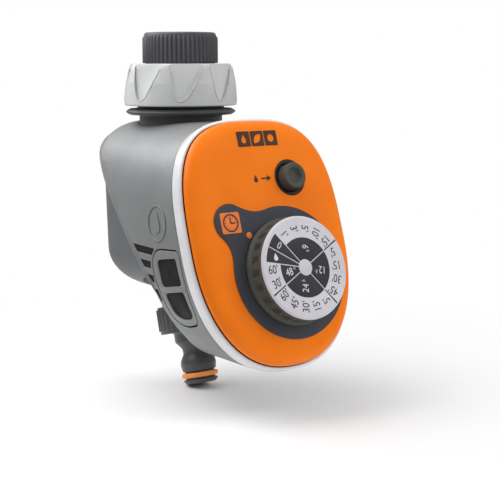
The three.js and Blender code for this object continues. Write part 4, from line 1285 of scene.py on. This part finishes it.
def make_spring(node, radius, wire, low, height, turns, fixed_end, place, joint, share):
    rings = []
    steps = turns * 24
    for i in range(steps + 1):
        angle = 2 * math.pi * turns * i / steps
        outward = Vector((math.cos(angle), math.sin(angle), 0))
        centre = outward * radius + Vector((0, 0, low + height * i / steps))
        section = arc(0, 0, wire, 0, 360, 8)[:-1]
        rings.append([centre + outward * p.x + Vector((0, 0, p.y)) for p in section])
    spring = to_object(f"{node}_coil", loft(rings), place)
    piece(spring, "timer", "steel", node)
    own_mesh(spring)


# ---------------------------------------------------------------- parts shown as they come

CAD_FINISHES = {
    "adaptor_washer": "black_rubber", "nut_clip_ring": "nylon", "inlet_filter": "nylon",
    "diaphragm": "black_rubber", "diaphragm_plate": "nylon",
    "valve_bonnet": "dark_plastic", "solenoid_yoke": "steel", "solenoid_coil": "copper",
    "solenoid_plunger": "steel", "outlet_washer": "black_rubber",
    "circuit_board": "board_green", "dial_shaft": "steel", "rotary_switch": "black_plastic",
    "tact_switch": "black_plastic", "board_screw_1": "steel",
    "board_screw_2": "steel", "control_chip": "black_plastic", "battery": "battery_wrap",
    "battery_sleeve": "black_plastic", "battery_contacts": "contact_metal",
    "battery_lead_red": "red_cable", "battery_lead_black": "black_rubber",
}
for group in ("bonnet_screw", "rear_screw"):
    for number in range(1, 5):
        CAD_FINISHES[f"{group}_{number}"] = "steel"


def finish_cad_nodes():
    for name, finish in CAD_FINISHES.items():
        node = frame["nodes"][name]
        node.data.materials.clear()
        node.data.materials.append(MATERIALS[finish])
        shade(node)


# ---------------------------------------------------------------- stage


def add_node(tree, kind, **inputs):
    node = tree.nodes.new(kind)
    for name, value in inputs.items():
        node.inputs[name.replace("_", " ")].default_value = value
    return node


def make_floor():
    """A pale floor that fades into the white backdrop away from the timer."""
    size = 3
    mesh = bpy.data.meshes.new("floor")
    corners = [(-size, -size, 0), (size, -size, 0), (size, size, 0), (-size, size, 0)]
    mesh.from_pydata(corners, [], [(0, 1, 2, 3)])
    floor = bpy.data.objects.new("floor", mesh)
    scene.collection.objects.link(floor)
    material = bpy.data.materials.new("floor")
    material.use_nodes = True
    tree = material.node_tree
    shader = tree.nodes["Principled BSDF"]
    shader.inputs["Base Color"].default_value = (0.96, 0.96, 0.96, 1)
    shader.inputs["Roughness"].default_value = 0.6
    coordinates = add_node(tree, "ShaderNodeTexCoord")
    length = add_node(tree, "ShaderNodeVectorMath")
    length.operation = "LENGTH"
    fade = add_node(tree, "ShaderNodeMapRange", From_Min=0.08, From_Max=0.25)
    ray = add_node(tree, "ShaderNodeLightPath")
    level = add_node(tree, "ShaderNodeMapRange", To_Min=0.4, To_Max=1.0)
    white = add_node(tree, "ShaderNodeEmission")
    mixer = add_node(tree, "ShaderNodeMixShader")
    link = tree.links.new
    link(ray.outputs["Is Camera Ray"], level.inputs["Value"])
    link(level.outputs["Result"], white.inputs["Strength"])
    link(coordinates.outputs["Object"], length.inputs[0])
    link(length.outputs["Value"], fade.inputs["Value"])
    link(fade.outputs["Result"], mixer.inputs["Fac"])
    link(shader.outputs["BSDF"], mixer.inputs[1])
    link(white.outputs["Emission"], mixer.inputs[2])
    link(mixer.outputs["Shader"], tree.nodes["Material Output"].inputs["Surface"])
    mesh.materials.append(material)


def make_world():
    """White behind the timer, and a soft light from all round that is strongest overhead."""
    world = bpy.data.worlds.new("studio")
    scene.world = world
    world.use_nodes = True
    tree = world.node_tree
    background = tree.nodes["Background"]
    background.inputs["Color"].default_value = (1, 1, 1, 1)
    direction = add_node(tree, "ShaderNodeTexCoord")
    split = add_node(tree, "ShaderNodeSeparateXYZ")
    height = add_node(tree, "ShaderNodeMapRange", From_Min=0.0, To_Min=0.22, To_Max=0.6)
    ray = add_node(tree, "ShaderNodeLightPath")
    level = add_node(tree, "ShaderNodeMapRange", To_Max=1.0)
    link = tree.links.new
    link(direction.outputs["Generated"], split.inputs["Vector"])
    link(split.outputs["Z"], height.inputs["Value"])
    link(height.outputs["Result"], level.inputs["To Min"])
    link(ray.outputs["Is Camera Ray"], level.inputs["Value"])
    link(level.outputs["Result"], background.inputs["Strength"])


def area_light(name, place, target, size, power, mirrored=True):
    """A soft light; one that isn't mirrored leaves no bright reflection on the glossy parts."""
    light = bpy.data.lights.new(name, "AREA")
    light.shape = "RECTANGLE"
    light.size, light.size_y = size
    light.energy = power
    obj = bpy.data.objects.new(name, light)
    scene.collection.objects.link(obj)
    obj.location = place
    obj.visible_glossy = mirrored
    obj.rotation_euler = (Vector(target) - Vector(place)).to_track_quat("-Z", "Y").to_euler()


def make_lights():
    middle = (0, 0, 0.09)
    area_light("front_right", (0.445, -0.531, 0.49), middle, (0.5, 0.5), 3.3, mirrored=False)
    area_light("behind_left", (-0.143, 0.248, 0.291), middle, (0.2, 0.2), 0.5)
    area_light("left", (-0.23, 0.04, 0.323), middle, (0.2, 0.2), 0.42)
    area_light("overhead", (-0.105, 0.088, 0.466), middle, (0.3, 0.3), 0.6)


def make_camera():
    """A long lens to the left of the timer's front, a little above it."""
    azimuth, elevation, roll = math.radians(-36.355), math.radians(8.713), math.radians(-0.21)
    place = INLET @ Vector((-308.566, -473.6, 20.308))
    back = Vector((
        math.sin(azimuth) * math.cos(elevation),
        -math.cos(azimuth) * math.cos(elevation),
        math.sin(elevation),
    ))
    right = Vector((math.cos(azimuth), math.sin(azimuth), 0))
    up = back.cross(right)
    rolled_right = right * math.cos(roll) + up * math.sin(roll)
    rolled_up = up * math.cos(roll) - right * math.sin(roll)
    turn = Matrix((rolled_right, rolled_up, back)).transposed().to_4x4()
    data = bpy.data.cameras.new("camera")
    data.lens = 85.92
    data.sensor_width = 36
    camera = bpy.data.objects.new("camera", data)
    scene.collection.objects.link(camera)
    camera.matrix_world = Matrix.Translation(place) @ turn
    data.clip_start = 0.01
    scene.camera = camera


# ---------------------------------------------------------------- assembly

make_housing()
make_rear_cover()
make_nut()
make_adaptor()
make_valve_body()
make_outlet()
make_cover()
make_trim_ring()
make_pad()
make_badge()
make_button_label()
make_button()
make_knob()
make_scale()
make_drawer()
for node, values in SPRINGS.items():
    make_spring(node, **values)
finish_cad_nodes()
make_floor()
make_world()
make_lights()
make_camera()
scene.view_settings.view_transform = "Standard"
scene.view_settings.look = "None"
